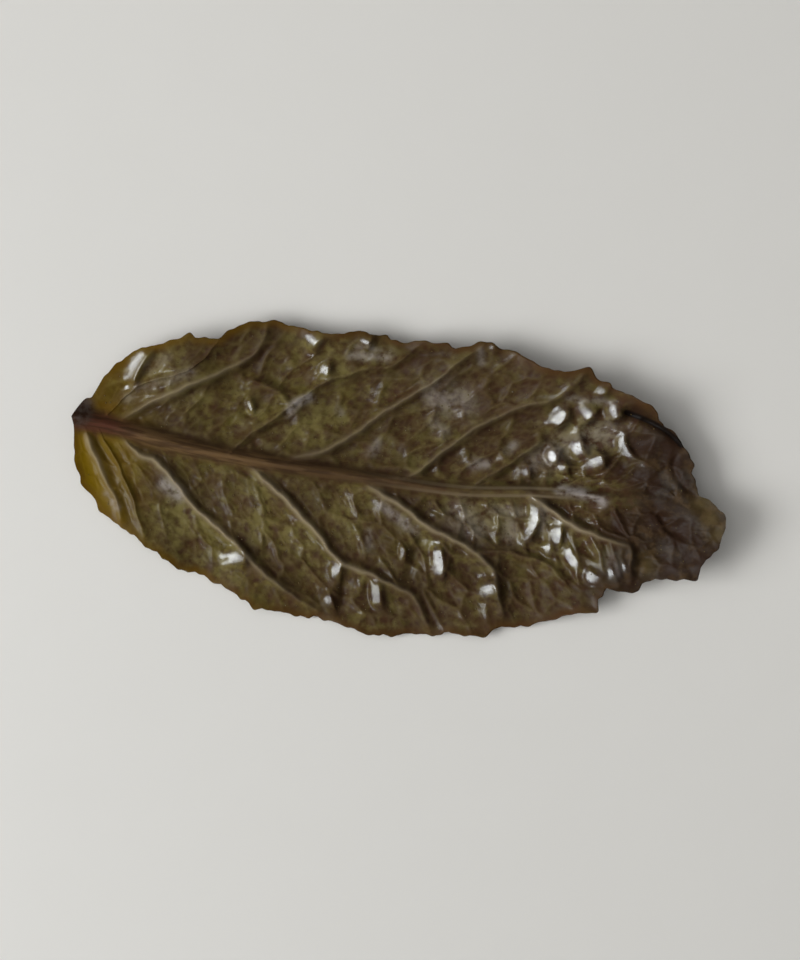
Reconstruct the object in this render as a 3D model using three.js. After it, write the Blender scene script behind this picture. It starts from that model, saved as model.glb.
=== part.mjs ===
// One wet, limp spearmint leaf lying face down, so that its veined underside is on top.
// Millimetres, +Z up. The leaf runs along +X from its cut stalk to its tip.
import * as THREE from 'three';

// Driving dimensions.
const BLADE_THICKNESS = 0.66;   // height between the two faces of the blade
const REST_SINK = 0.05;         // how far the blade sinks there
const REST_RADIUS = 0.85;       // round each of the three low points it lies flat
const REST_REACH = 1.4;         // a low point is this near its spot
const REST_BOW = 0.32;          // how far the blade bows down to them
const REST_BOW_REACH = 2.6;
const MARGIN_STEP = 0.62;       // longest stretch of margin between two points
const VEIN_STEP = 0.6;          // spacing of points along a vein
const POINT_GAP = 0.38;         // no two points are nearer than this
const MARGIN_GAP = 0.5;         // and none but the margin's own are nearer than this to it
const NET_GAPS = { midrib: 0.95, veins: 0.42 };
const VEIN_GAPS = { midrib: 0.6, veins: 0 };
const CREST_GAPS = { midrib: 0, veins: 0 };
const MIDRIB_HALF_WIDTH = 0.75; // midrib from crest to foot, at the stalk
const MIDRIB_RISE = 0.8;        // midrib above the blade, at the stalk
const MIDRIB_TAPER = 0.45;      // its width at the tip, as a share of that at the stalk
const MIDRIB_SINKING = 0.3;     // its rise at the tip, as a share of that at the stalk
const VEIN_RISE = 0.3;          // side vein above the blade, at its root
const VEIN_HALF_WIDTH = 0.32;
const VEIN_SINKING = 0.35;      // its rise at the margin, as a share of that at its root
const QUILT_DEPTH = 0.45;       // panels between veins sink this far
const QUILT_REACH = 1.5;        // distance from a vein over which they sink
const CELL_PITCH = 2.6;         // spacing of the net's cells, at the stalk
const CELL_CROWDING = 0.0065;   // how the cells get smaller towards the tip, per millimetre
const CELL_SLANT = 0.45;        // rows of cells lean forward as the side veins do
const CELL_JITTER = 0.28;       // share of the pitch
const CELL_DEPTH = 0.26;        // cell floor below its net, at the stalk
const CELL_DEPTH_TIP = 0.34;
const FLOOR_EDGE = 0.5;         // where a cell's floor starts, from its corner to its centre
const CELL_WALL = 0.5;          // how wide the slope down from the net is
const TIP_CURL = { lift: 1.7, fromX: 29, toX: 48, bend: 1.5 };
const FAR_EDGE_CURL = { lift: 0.55, fromX: 20, toX: 38, fromY: 4, toY: 10 };
const NEAR_EDGE_CURL = { lift: 0.6, fromY: 4, toY: 9 };
const MARGIN_WAVE = { height: 0.3, length: 7.5, reach: 1.8, lowerPhase: 2.1 };
const MARGIN_FLATTENING = 1.2;  // the relief fades over this distance from the margin
const TOOTH_RUN = 1.9;          // a tooth rises over this length and drops over the next
const TOOTH_DROP = 0.9;
const TOOTH_LEAN = 0.35;        // and its point leans towards the tip by this share of its height

// The stalk's cut end and the tip are where the two margins meet.
const STALK = [0.0, -0.1];
const TIP = [45.6, -0.4];
const LOWER_MARGIN = [
  STALK, [0.45, -0.9], [0.45, -2.3], [2.4, -5.5], [6, -7.9], [11, -9.3], [16, -10.4],
  [21, -11], [25.5, -10.7], [30.5, -9.4], [35, -7.7], [38.5, -5.7], [42, -4.1],
  [44, -3.1], [45.2, -1.8], TIP,
];
const UPPER_MARGIN = [
  STALK, [0.7, 1.4], [1.9, 3.4], [4.5, 5.7], [8.3, 6.5], [11, 8.2], [13.4, 8.5], [16.4, 8.2],
  [22, 8.7], [27, 9.3], [30.9, 8.3], [34.5, 8.6], [38, 7.6], [41, 5.9], [42.5, 3.6], [43.7, 1.8],
  [45.2, 0.7], TIP,
];
// Each tooth: where its point is along X, and how far it stands out.
const LOWER_TEETH = [
  [9.4, 0.25], [14.9, 0.55], [22.8, 0.45], [30.2, 0.5], [37.6, 0.95], [40.6, 0.4], [44.1, 0.8],
];
const UPPER_TEETH = [
  [7.1, 0.5], [12.7, 0.4], [19.1, 0.6], [24, 0.3], [27.8, 0.65], [34.3, 0.65], [39.5, 0.45], [42.5, 0.4],
];

const MIDRIB = [
  STALK, [3, -0.4], [9, -1], [15, -1], [21, -0.7], [27, -0.6], [32.5, 0.2], [38, 0.6], [44.5, 0],
];
const SIDE_VEINS = [
  [[1.4, -0.2], [4.1, 2.4], [6.5, 3.7], [8.9, 6.4]],
  [[2.2, -0.3], [5.6, 2.1], [8.2, 3.9], [10.9, 5.5], [12.6, 8.2]],
  [[9.8, -1], [13.1, 1.4], [16.9, 4.7], [19.6, 6.4], [21.4, 8.5]],
  [[14.4, -1], [17.7, 0.1], [20.3, 2.3], [23.2, 5.4], [27.4, 9.3]],
  [[24, -0.7], [26.2, 2.1], [28.7, 4.6], [31.2, 6.2], [34, 8.7]],
  [[30, -0.3], [32.1, 1.8], [35.3, 4], [39, 6.6]],
  [[36, 0.5], [38.6, 1.6], [42, 3.7]],
  [[0.9, -0.2], [1.9, -2.3], [2.8, -3.9], [4.3, -6.3]],
  [[1.9, -0.3], [4.1, -3.1], [5.2, -5.2], [6.7, -7.8]],
  [[2.9, -0.4], [6.4, -2.4], [9.8, -5.1], [13.3, -7.3], [18.8, -10.3]],
  [[12.4, -1], [16.6, -3.9], [19.4, -6.4], [21.6, -7.9], [23.4, -10.6]],
  [[20.6, -0.8], [24.4, -3.1], [28.5, -4.5], [30, -6], [31.4, -8.8]],
  [[31.4, 0], [35.1, -1.6], [38.7, -2.5], [43.2, -3.4]],
];
// Three cells round the leaf's weight, which lie on the surface.
const REST_SPOTS = [[9, -5.5], [32.5, -4.8], [18.8, 3.8]];

const { smoothstep, lerp } = THREE.MathUtils;

function curveThrough(points) {
  return new THREE.SplineCurve(points.map(([x, y]) => new THREE.Vector2(x, y)));
}

// A fixed random number from -0.5 to 0.5 for each place in a lattice.
function scatter(i, j, salt) {
  const wave = Math.sin(i * 127.1 + j * 311.7 + salt * 74.7) * 43758.5453;
  return wave - Math.floor(wave) - 0.5;
}

function toothRise(ahead, height) {
  if (ahead <= -TOOTH_RUN || ahead >= TOOTH_DROP) return 0;
  if (ahead <= 0) return height * (1 + ahead / TOOTH_RUN) ** 1.4;
  return height * (1 - ahead / TOOTH_DROP);
}

// One margin from the stalk to the tip, with its teeth. Outward is +1 for +Y, -1 for -Y.
function toothedMargin(points, teeth, outward) {
  const curve = curveThrough(points);
  const length = curve.getLength();
  const shares = Array.from({ length: 401 }, (_, k) => k / 400);
  const miss = (share, x) => Math.abs(curve.getPointAt(share).x - x);
  const tips = teeth.map(([x, height]) => {
    const nearest = shares.reduce((best, share) => (miss(share, x) < miss(best, x) ? share : best), 0);
    return { at: nearest * length, height };
  });
  const stops = [0, ...tips.flatMap((tip) => [tip.at - TOOTH_RUN, tip.at, tip.at + TOOTH_DROP]), length];
  const fixed = stops.filter((stop) => stop >= 0 && stop <= length).sort((a, b) => a - b);
  const margin = [];
  fixed.slice(1).forEach((end, k) => {
    const start = fixed[k];
    const parts = Math.max(1, Math.ceil((end - start) / MARGIN_STEP));
    for (let part = 0; part < parts; part += 1) {
      const at = lerp(start, end, part / parts);
      const point = curve.getPointAt(at / length);
      const along = curve.getTangentAt(at / length);
      const rise = Math.max(...tips.map((tip) => toothRise(at - tip.at, tip.height)));
      const normal = new THREE.Vector2(-along.y, along.x).multiplyScalar(outward);
      margin.push(point.addScaledVector(normal, rise).addScaledVector(along, rise * TOOTH_LEAN));
    }
  });
  return margin;
}

function outlineOf() {
  const lower = toothedMargin(LOWER_MARGIN, LOWER_TEETH, -1);
  const upper = toothedMargin(UPPER_MARGIN, UPPER_TEETH, 1);
  const tip = new THREE.Vector2(...TIP);
  return [...lower, tip, ...upper.slice(1).reverse()];
}

function sampleEvery(points, step) {
  const curve = curveThrough(points);
  return curve.getSpacedPoints(Math.max(2, Math.round(curve.getLength() / step)));
}

function distanceToLine(line, x, y) {
  let nearest = Infinity;
  let share = 0;
  for (let k = 1; k < line.length; k += 1) {
    const a = line[k - 1];
    const dx = line[k].x - a.x;
    const dy = line[k].y - a.y;
    const along = Math.min(1, Math.max(0, ((x - a.x) * dx + (y - a.y) * dy) / (dx * dx + dy * dy)));
    const distance = Math.hypot(x - a.x - along * dx, y - a.y - along * dy);
    if (distance < nearest) {
      nearest = distance;
      share = (k - 1 + along) / (line.length - 1);
    }
  }
  return { distance: nearest, share };
}

const outline = outlineOf();
const closedOutline = [...outline, outline[0]];
const midrib = sampleEvery(MIDRIB, VEIN_STEP);
const sideVeins = SIDE_VEINS.map((points) => sampleEvery(points, VEIN_STEP));

// The net is laid out on a slanted lattice that crowds towards the tip.
function toLattice(x, y) {
  const back = x - CELL_SLANT * Math.abs(y);
  return [back + CELL_CROWDING * back * back, y * (1 + 2 * CELL_CROWDING * back)];
}

function fromLattice(a, b) {
  const back = (Math.sqrt(1 + 4 * CELL_CROWDING * a) - 1) / (2 * CELL_CROWDING);
  const y = b / (1 + 2 * CELL_CROWDING * back);
  return [back + CELL_SLANT * Math.abs(y), y];
}

const ROW_PITCH = CELL_PITCH * Math.sqrt(0.75);
const NET_ROWS = 8;             // enough to cover the blade on each side of the midrib
const NET_COLUMNS = 26;

function cellCentre(column, row) {
  const shift = row % 2 === 0 ? 0 : 0.5;
  return [
    (column + shift + CELL_JITTER * scatter(column, row, 1)) * CELL_PITCH,
    (row + CELL_JITTER * scatter(column, row, 2)) * ROW_PITCH,
  ];
}

// How much nearer the second nearest cell centre is than the nearest: 0 on the net.
function clearOfNet(x, y) {
  const [a, b] = toLattice(x, y);
  const row = Math.round(b / ROW_PITCH);
  const column = Math.round(a / CELL_PITCH);
  const distances = [];
  for (let j = row - 2; j <= row + 2; j += 1) {
    for (let i = column - 2; i <= column + 2; i += 1) {
      const [ca, cb] = cellCentre(i, j);
      distances.push(Math.hypot(a - ca, b - cb));
    }
  }
  distances.sort((p, q) => p - q);
  return distances[1] - distances[0];
}

function isInside(x, y) {
  let inside = false;
  for (let k = 0, previous = outline.length - 1; k < outline.length; previous = k, k += 1) {
    const a = outline[k];
    const b = outline[previous];
    if (a.y > y !== b.y > y && x < ((b.x - a.x) * (y - a.y)) / (b.y - a.y) + a.x) inside = !inside;
  }
  return inside;
}

const marginGap = (x, y) => distanceToLine(closedOutline, x, y).distance;
const midribGap = (x, y) => distanceToLine(midrib, x, y).distance;
const sideVeinGap = (x, y) => Math.min(...sideVeins.map((vein) => distanceToLine(vein, x, y).distance));

// Points go where the relief turns: margin, midrib, side veins, net corners and cell floors.
function surfacePoints() {
  const points = outline.map((point) => [point.x, point.y]);
  const add = ([x, y], gaps) => {
    const offVeins = midribGap(x, y) >= gaps.midrib && sideVeinGap(x, y) >= gaps.veins;
    const isFree = points.every(([px, py]) => Math.hypot(px - x, py - y) >= POINT_GAP);
    if (isInside(x, y) && marginGap(x, y) >= MARGIN_GAP && offVeins && isFree) points.push([x, y]);
  };
  midrib.slice(1).forEach((point, k) => {
    const along = point.clone().sub(midrib[k]).normalize();
    const foot = MIDRIB_HALF_WIDTH * lerp(1, MIDRIB_TAPER, k / midrib.length);
    add([point.x, point.y], CREST_GAPS);
    add([point.x - along.y * foot, point.y + along.x * foot], CREST_GAPS);
    add([point.x + along.y * foot, point.y - along.x * foot], CREST_GAPS);
  });
  sideVeins.forEach((vein) => vein.forEach((point) => add([point.x, point.y], VEIN_GAPS)));
  for (let row = -NET_ROWS; row <= NET_ROWS; row += 1) {
    for (let column = -3; column <= NET_COLUMNS; column += 1) {
      const centre = cellCentre(column, row);
      const odd = row % 2 === 0 ? 0 : 1;
      const ring = [
        cellCentre(column + 1, row), cellCentre(column + odd, row + 1), cellCentre(column + odd - 1, row + 1),
        cellCentre(column - 1, row), cellCentre(column + odd - 1, row - 1), cellCentre(column + odd, row - 1),
      ];
      const corners = ring.map((neighbour, k) => circumcentre(centre, neighbour, ring[(k + 1) % 6]));
      const sides = corners.map((corner, k) => between(corner, corners[(k + 1) % 6], 0.5));
      const floor = corners.map((corner) => between(corner, centre, FLOOR_EDGE));
      [...corners, ...sides, ...floor, centre].forEach((place) => add(fromLattice(...place), NET_GAPS));
    }
  }
  return points;
}

function between([ax, ay], [bx, by], share) {
  return [lerp(ax, bx, share), lerp(ay, by, share)];
}

function circumcentre([ax, ay], [bx, by], [cx, cy]) {
  const twice = 2 * (ax * (by - cy) + bx * (cy - ay) + cx * (ay - by));
  const a = ax * ax + ay * ay;
  const b = bx * bx + by * by;
  const c = cx * cx + cy * cy;
  return [
    (a * (by - cy) + b * (cy - ay) + c * (ay - by)) / twice,
    (a * (cx - bx) + b * (ax - cx) + c * (bx - ax)) / twice,
  ];
}

// Delaunay triangles of points in the plane, each turning anticlockwise.
function triangulate(points) {
  const all = [...points, [-500, -500], [500, -500], [0, 900]];
  const circled = (i, j, k) => {
    const centre = circumcentre(all[i], all[j], all[k]);
    return { corners: [i, j, k], centre, reach: Math.hypot(centre[0] - all[i][0], centre[1] - all[i][1]) };
  };
  let triangles = [circled(points.length, points.length + 1, points.length + 2)];
  points.forEach(([x, y], added) => {
    const rim = new Map();
    triangles = triangles.filter(({ corners, centre, reach }) => {
      if (Math.hypot(x - centre[0], y - centre[1]) >= reach) return true;
      corners.forEach((from, k) => {
        const to = corners[(k + 1) % 3];
        if (!rim.delete(`${to},${from}`)) rim.set(`${from},${to}`, [from, to]);
      });
      return false;
    });
    rim.forEach(([from, to]) => triangles.push(circled(from, to, added)));
  });
  return triangles.map(({ corners }) => corners).filter((corners) => corners.every((k) => k < points.length));
}

// How the limp blade lies: its tip and its +Y margin stand clear of the surface.
function lie(x, y) {
  const tip = TIP_CURL.lift * smoothstep(x, TIP_CURL.fromX, TIP_CURL.toX) ** TIP_CURL.bend;
  const far = FAR_EDGE_CURL;
  const farEdge = far.lift * smoothstep(y, far.fromY, far.toY) * smoothstep(x, far.fromX, far.toX);
  const nearEdge = NEAR_EDGE_CURL.lift * smoothstep(y, NEAR_EDGE_CURL.fromY, NEAR_EDGE_CURL.toY);
  const phase = (2 * Math.PI * x) / MARGIN_WAVE.length + (y > 0 ? 0 : MARGIN_WAVE.lowerPhase);
  const wave = MARGIN_WAVE.height * Math.sin(phase) * Math.exp(-marginGap(x, y) / MARGIN_WAVE.reach);
  const restGap = Math.min(...REST_SPOTS.map(([restX, restY]) => Math.hypot(x - restX, y - restY)));
  const bow = REST_BOW * Math.exp(-((restGap / REST_BOW_REACH) ** 2));
  return tip + farEdge + nearEdge + wave - bow;
}

// The quilted blade: panels sink between the veins, and cells sink within the panels.
function quilt(x, y) {
  const gap = Math.min(midribGap(x, y), sideVeinGap(x, y));
  const sunk = 1 - Math.exp(-((gap / QUILT_REACH) ** 2));
  const cell = 1 - Math.exp(-((clearOfNet(x, y) / CELL_WALL) ** 2));
  const depth = lerp(CELL_DEPTH, CELL_DEPTH_TIP, x / TIP[0]);
  const inward = 1 - Math.exp(-marginGap(x, y) / MARGIN_FLATTENING);
  return -(QUILT_DEPTH * sunk + depth * cell * Math.min(1, sunk * 2)) * inward;
}

// Ribs stand on the visible face only.
function ribs(x, y) {
  const main = distanceToLine(midrib, x, y);
  const width = 0.7 * MIDRIB_HALF_WIDTH * lerp(1, MIDRIB_TAPER, main.share);
  const crest = MIDRIB_RISE * lerp(1, MIDRIB_SINKING, Math.sqrt(main.share));
  let rise = crest * Math.exp(-((main.distance / width) ** 2));
  sideVeins.forEach((vein) => {
    const side = distanceToLine(vein, x, y);
    const height = VEIN_RISE * lerp(1, VEIN_SINKING, side.share);
    rise = Math.max(rise, height * Math.exp(-((side.distance / VEIN_HALF_WIDTH) ** 2)));
  });
  return rise;
}

// The lowest point of the blade's underside near each rest spot.
function lowPoints(blade) {
  return REST_SPOTS.map(([x, y]) => {
    const near = blade.filter(([px, py]) => Math.hypot(px - x, py - y) < REST_REACH);
    return new THREE.Vector3(...near.reduce((low, point) => (point[2] < low[2] ? point : low)));
  });
}

// The surface's height under the untilted blade, from the plane through its three low points.
function surfaceUnder([first, second, third]) {
  const { normal } = new THREE.Plane().setFromCoplanarPoints(first, second, third);
  return (x, y) => first.z - (normal.x * (x - first.x) + normal.y * (y - first.y)) / normal.z;
}

function leafGeometry() {
  const points = surfacePoints();
  const triangles = triangulate(points).filter((corners) => {
    const [x, y] = [0, 1].map((axis) => corners.reduce((sum, k) => sum + points[k][axis], 0) / 3);
    return isInside(x, y);
  });
  const blade = points.map(([x, y]) => [x, y, lie(x, y) + quilt(x, y) - BLADE_THICKNESS]);
  const rests = lowPoints(blade);
  const surface = surfaceUnder(rests);
  const undersides = blade.map(([x, y, z]) => z - surface(x, y) - REST_SINK);
  const liesFlat = (x, y) => rests.some((rest) => Math.hypot(x - rest.x, y - rest.y) < REST_RADIUS);
  const top = points.map(([x, y], k) => [x, y, undersides[k] + BLADE_THICKNESS + ribs(x, y)]);
  const bottom = points.map(([x, y], k) => [x, y, liesFlat(x, y) ? 0 : Math.max(0, undersides[k])]);
  const count = points.length;
  const index = [];
  triangles.forEach(([a, b, c]) => index.push(a, b, c, count + a, count + c, count + b));
  outline.forEach((point, k) => {
    const next = (k + 1) % outline.length;
    index.push(k, count + k, count + next, k, count + next, next);
  });
  const geometry = new THREE.BufferGeometry();
  geometry.setAttribute('position', new THREE.Float32BufferAttribute([...top, ...bottom].flat(), 3));
  geometry.setIndex(index);
  geometry.computeVertexNormals();
  return geometry;
}

const wetLeaf = new THREE.MeshStandardMaterial({ color: 0x514426, roughness: 0.3, metalness: 0 });
const leaf = new THREE.Mesh(leafGeometry(), wetLeaf);
leaf.name = 'mint_leaf';

// The origin is under the middle of the leaf's box.
const box = new THREE.Box3().setFromObject(leaf);
const middle = box.getCenter(new THREE.Vector3());
leaf.position.set(-middle.x, -middle.y, -box.min.z);

const group = new THREE.Group();
group.add(leaf);

export default group;
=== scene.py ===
"""One wet, steeped spearmint leaf lying face down on a pale floor.

The leaf's veined underside is on top. It runs along +X from its cut stalk to its tip.
The sizes in its settings are metres. The outline, the veins and what else is listed by place are
in millimetres, in the leaf's own plane, with the stalk's end near the origin.
"""

import math
from types import SimpleNamespace

import bmesh
import bpy
import numpy as np
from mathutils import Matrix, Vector
from mathutils.noise import noise as simplex


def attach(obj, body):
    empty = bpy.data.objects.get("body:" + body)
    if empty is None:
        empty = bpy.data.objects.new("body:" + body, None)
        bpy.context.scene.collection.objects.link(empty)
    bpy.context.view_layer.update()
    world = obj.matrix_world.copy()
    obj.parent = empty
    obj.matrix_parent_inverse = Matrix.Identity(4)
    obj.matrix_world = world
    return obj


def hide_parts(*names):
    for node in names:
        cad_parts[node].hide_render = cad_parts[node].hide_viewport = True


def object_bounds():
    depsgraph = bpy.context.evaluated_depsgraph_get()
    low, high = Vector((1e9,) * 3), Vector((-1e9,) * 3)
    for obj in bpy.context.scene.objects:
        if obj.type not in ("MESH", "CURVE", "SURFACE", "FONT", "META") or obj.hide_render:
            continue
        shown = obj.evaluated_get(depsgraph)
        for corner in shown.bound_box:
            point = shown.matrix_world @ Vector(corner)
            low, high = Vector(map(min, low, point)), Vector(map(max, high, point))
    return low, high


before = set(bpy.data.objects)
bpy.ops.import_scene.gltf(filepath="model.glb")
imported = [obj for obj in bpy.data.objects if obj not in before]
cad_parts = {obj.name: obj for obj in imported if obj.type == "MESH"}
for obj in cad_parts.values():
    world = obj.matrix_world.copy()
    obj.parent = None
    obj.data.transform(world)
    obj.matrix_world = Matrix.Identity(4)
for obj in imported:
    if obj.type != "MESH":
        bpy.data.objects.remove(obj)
CAD_LOW, CAD_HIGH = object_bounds()

bl_info = {
    "name": "Steeped Spearmint Leaf",
    "version": (1, 0, 0),
    "blender": (4, 5, 0),
    "location": "View3D > Sidebar > Mint Leaf",
    "description": "Makes a wet spearmint leaf with raised veins, a net and oil glands",
    "category": "Add Mesh",
}

MM = 0.001
FLAT_TOP = 4  # the power of a falloff that stays near 1 before it drops

# ---------------- the outline

# The stalk's cut end and the tip are where the two margins meet.
STALK = (-0.2, -0.4)
TIP = (45.35, -0.4)
LOWER_MARGIN = [
    STALK, (0.1, -1.3), (0.25, -2.6), (0.9, -4.3), (1.8, -5.6), (3.6, -7), (6, -8.2), (8.4, -9.3),
    (11, -9.9), (13.2, -10.7), (15.2, -11.3), (19, -11.3), (22.5, -11.7), (26, -11.2), (28.5, -10.8),
    (31, -10), (34, -9.1), (36, -7.9), (38.4, -6.1), (42, -4.5), (43.6, -3.6), (44.8, -2.3),
    (45.2, -1.4), TIP,
]
UPPER_MARGIN = [
    STALK, (0.1, 0.35), (0.5, 1), (1, 1.35), (1.9, 3.3), (3.4, 4.8), (5, 5.5), (6.5, 6.1), (8.3, 6.5),
    (9.6, 7.3), (11, 8.1), (13.2, 8.4), (15, 8.2), (17, 8.3), (18.6, 8.5), (22, 8.6), (24.5, 8.7),
    (27, 9.1), (29, 9.1), (31, 8.4), (33, 8.3), (34.5, 8.3), (37, 7.6), (38.2, 7.1), (39.4, 6.4),
    (41, 5.3), (42.3, 3.5), (43.1, 1.9), (44.2, 1.1), (45.1, 0.5), TIP,
]
# Each tooth: where its point is along X, and how far it stands out.
LOWER_TEETH = [
    (9.2, 0.2), (14.7, 0.25), (22.6, 0.25), (30, 0.35), (36.9, 0.85), (40, 0.4), (43.4, 0.85),
]
UPPER_TEETH = [
    (6.8, 0.35), (18.7, 0.35), (24, 0.25), (27.3, 0.4), (34.1, 0.5), (38.6, 0.25), (42.2, 0.2),
]
TOOTH_RUN = 1.9
TOOTH_DROP = 0.9
TOOTH_HOLLOW = 1.4  # the power that hollows a tooth's long side
TOOTH_LEAN = 0.35
TOOTH_ROUNDING = 0.22
SMOOTH_START = 7.0  # the margin is whole near the stalk
SMOOTH_END = 2  # and close to the tip
MARGIN_RAGS = [(1.3, 0.36), (0.55, 0.24)]  # wavelengths and depths of small nibbles

# The blade's own grid: columns run from the midrib to the margin, rows follow the margin.
COLUMNS = 495
ROWS = 84
UNDERSIDE_SHARE = 3  # the hidden face has every third column and row
UNDER_COLUMNS = COLUMNS // UNDERSIDE_SHARE
UNDER_ROWS = ROWS // UNDERSIDE_SHARE
ROOT_CROWDING = 1.6  # how columns crowd at the midrib's stalk end
OUTLINE_SHARE = 3  # distances to the margin are measured to every third place on it
SPLINE_SAMPLES = 40  # between two listed points
ROOT_STEP = 0.05  # between places on the midrib, where the columns start
VEIN_STEP = 0.5
FOLD_STEP = 0.3
WELD_GAP = 1e-8

# ---------------- midrib and veins

MIDRIB = [
    STALK, (3, -0.65), (6, -1), (9, -1.25), (15, -1.3), (21, -1.15), (27, -0.95), (32, -0.2),
    (36, 0.2), (40, 0.5), (44.2, -0.1),
]
MIDRIB_TAPER = 0.35  # its width at the tip, as a share of that at the stalk
MIDRIB_SINKING = 0.3  # and its rise
MIDRIB_FADE = (35, 41)
# Shares of its half width: of its rounded crest, its foot, its own colour and its crease, which is painted
# dark as shade.
MIDRIB_CREST, MIDRIB_FOOT, MIDRIB_COLOUR, MIDRIB_CREASE = 0.7, 0.6, 0.8, 0.85
MIDRIB_FLARE = 0.35  # how much further its colour spreads at the stalk
MIDRIB_FLARE_RUN = (3.5, 0.5)
MIDRIB_PAINTED_SHADE_REACH = 1.8
MIDRIB_PAINTED_SHADE_RUN = (28, 20)
SUNK_BEYOND = 3  # beyond its end the panels stay sunk right across
# The midrib splits into two thin strands towards the tip.
STRAND_GAP = 0.26
STRAND_WIDTH = 0.1
STRAND_START = (17, 26)
STRAND_END = (36, 32)
STRAND_SHARE = 0.85
# Side veins: how prominent each is, and its course from the midrib to the margin.
SIDE_VEINS = [
    (0.2, [(2.2, 0.1), (3.6, 2.1), (5.6, 3.3), (7.4, 4.2), (8.9, 6.4)]),
    (0.85, [(3.2, 0.1), (4.6, 1.2), (8, 3.4), (10.3, 4.9), (11.6, 6.3), (12.1, 8)]),
    (0.45, [(11, -1), (12.3, 0.7), (14.2, 2.5), (16.1, 4.4), (18.5, 5.9), (21, 6.8), (22.6, 8.5)]),
    (0.75, [(14.8, -1), (16.8, 0), (18.3, 0.9), (20, 2.5), (21.9, 4.4), (23.6, 5.8), (24.8, 7), (27, 9.2)]),
    (0.7, [(22.6, -0.9), (23.7, -0.3), (26.1, 2.2), (28.4, 4.3), (30.7, 5.7), (32.5, 6.4), (34.1, 8.4)]),
    (0.45, [(27.6, -0.8), (30.2, 1.6), (31.8, 3.2)]),
    (0.9, [(0.7, -0.9), (1.3, -2), (2.5, -3.9), (3.5, -5.3), (4.3, -6.9)]),
    (0.25, [(1.7, -0.9), (3.3, -3), (4.4, -4.7), (5.4, -6.4), (6, -7.7)]),
    (1, [(3.2, -0.9), (4.6, -2.1), (6.2, -2.65), (9, -5.05), (12.8, -7.5), (15.8, -9.6), (18.6, -10.7)]),
    (1, [(12, -1.4), (13.4, -2.4), (15.2, -3.5), (17.8, -5.6), (19.6, -7.1), (22.6, -7.9), (25, -8.7),
         (26.4, -10.6)]),
    (0.95, [(20.2, -1.3), (21.6, -2), (23.2, -2.7), (25, -3.6), (27.1, -4.4), (28.9, -5), (30.3, -6.2),
            (31.3, -8.8)]),
    (1, [(31.2, -0.2), (33, -1), (34.5, -1.7), (36, -2.3), (38, -2.6), (39.2, -2.9), (39.6, -4.6)]),
    (0.35, [(14.6, 2.8), (13.4, 3.7), (11.6, 4.2)]),
    (0.3, [(36.4, -2.5), (37.4, -3.9), (37.9, -5)]),
    (0.3, [(37.8, -2.7), (38.5, -3.9), (38.9, -4.8)]),
    (0.35, [(29.1, -4.9), (31, -4.6), (33.6, -4.9), (35.3, -6)]),
]
VEIN_SINKING = 0.35  # a vein's rise at the margin, as a share of that at its root
VEIN_ROOT_WIDTH, VEIN_NARROWING = 1.2, 0.6  # in its usual half widths
VEIN_LINE = 0.2  # its pale line's half width
# Shares of its course where the pale line starts and is full, and where it ends and is still full.
VEIN_LINE_START = (-0.12, 0.2)
VEIN_LINE_END = (1.12, 0.4)
VEIN_WANDER = 0.05
# Waves: how strong each is, its radians for a millimetre of X and of Y, and where it starts.
LENGTHWAYS_WAVES = [(1, 0.9, -2.1, 2.0), (0.6, 3.1, 3.3, 0)]
SIDEWAYS_WAVES = [(1, 1.9, 0.8, 0.4), (0.6, 3.7, -2.9, 1.3)]
# Panels drop steeply on a vein's tip side and gently on its stalk side.
STEEP_REACH = 0.6
GENTLE_REACH = 1.5
# On the tip side a painted shade spreads from each vein, and a crease along the vein's foot is painted dark
# as shade too.
PAINTED_SHADE_REACH = 1.3
CREASE_GAP = 0.52
CREASE_WIDTH = 0.22
CREASE_DEPTH = 0.3  # a crease sinks the panel this much further
CREASE_LIMIT = 38  # and only on this side of the tip's own folds
CREASE_START = (0, 0.1)
# Along the midrib the crease's painted shade starts, is dark at first, then faint, and ends.
MIDRIB_CREASE_START = (3, 7)
MIDRIB_CREASE_DARK = (27, 21)
MIDRIB_CREASE_END = (38, 32)
FAINT_CREASE, DARKER_CREASE = 0.25, 0.65
MARGIN_FLATTENING = 1.2  # the relief dies away over this distance from the margin
# The net's lattice: its pitch, how it crowds towards the tip, and how it slants from the midrib.
CELL_PITCH = 2.6
CELL_CROWDING = 0.0065
CELL_SLANT = 0.45
CELL_SLANT_ROUNDING = 0.6

# ---------------- how the blade lies

REST_SPOTS = [(9, -5.5), (32.5, -4.8), (18.8, 3.8)]
REST_BOW = 0.32  # how far the blade bows down to each spot that it rests on
REST_BOW_REACH = 2.6
TIP_CURL_RUN = (29, 48)
TIP_CURL_BEND = 1.5
FAR_EDGE_ALONG = (20, 38)
FAR_EDGE_ACROSS = (4, 10)
NEAR_EDGE_ACROSS = (4, 9)
# The +Y half of the stalk end stands up along a slanted line.
LIFT_START = (2.7, 1.3)
LIFT_AZIMUTH = math.radians(61)
LIFT_RUN = 6.2
LIFT_END = (10.5, 5.5)
WAVE_LENGTH = 7.5
WAVE_SHIFT = 2.1  # how far the +Y margin's waves run behind the -Y margin's, in radians
WAVE_SHIFT_RUN = (2, -2)
WAVE_REACH = 1.8
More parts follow.
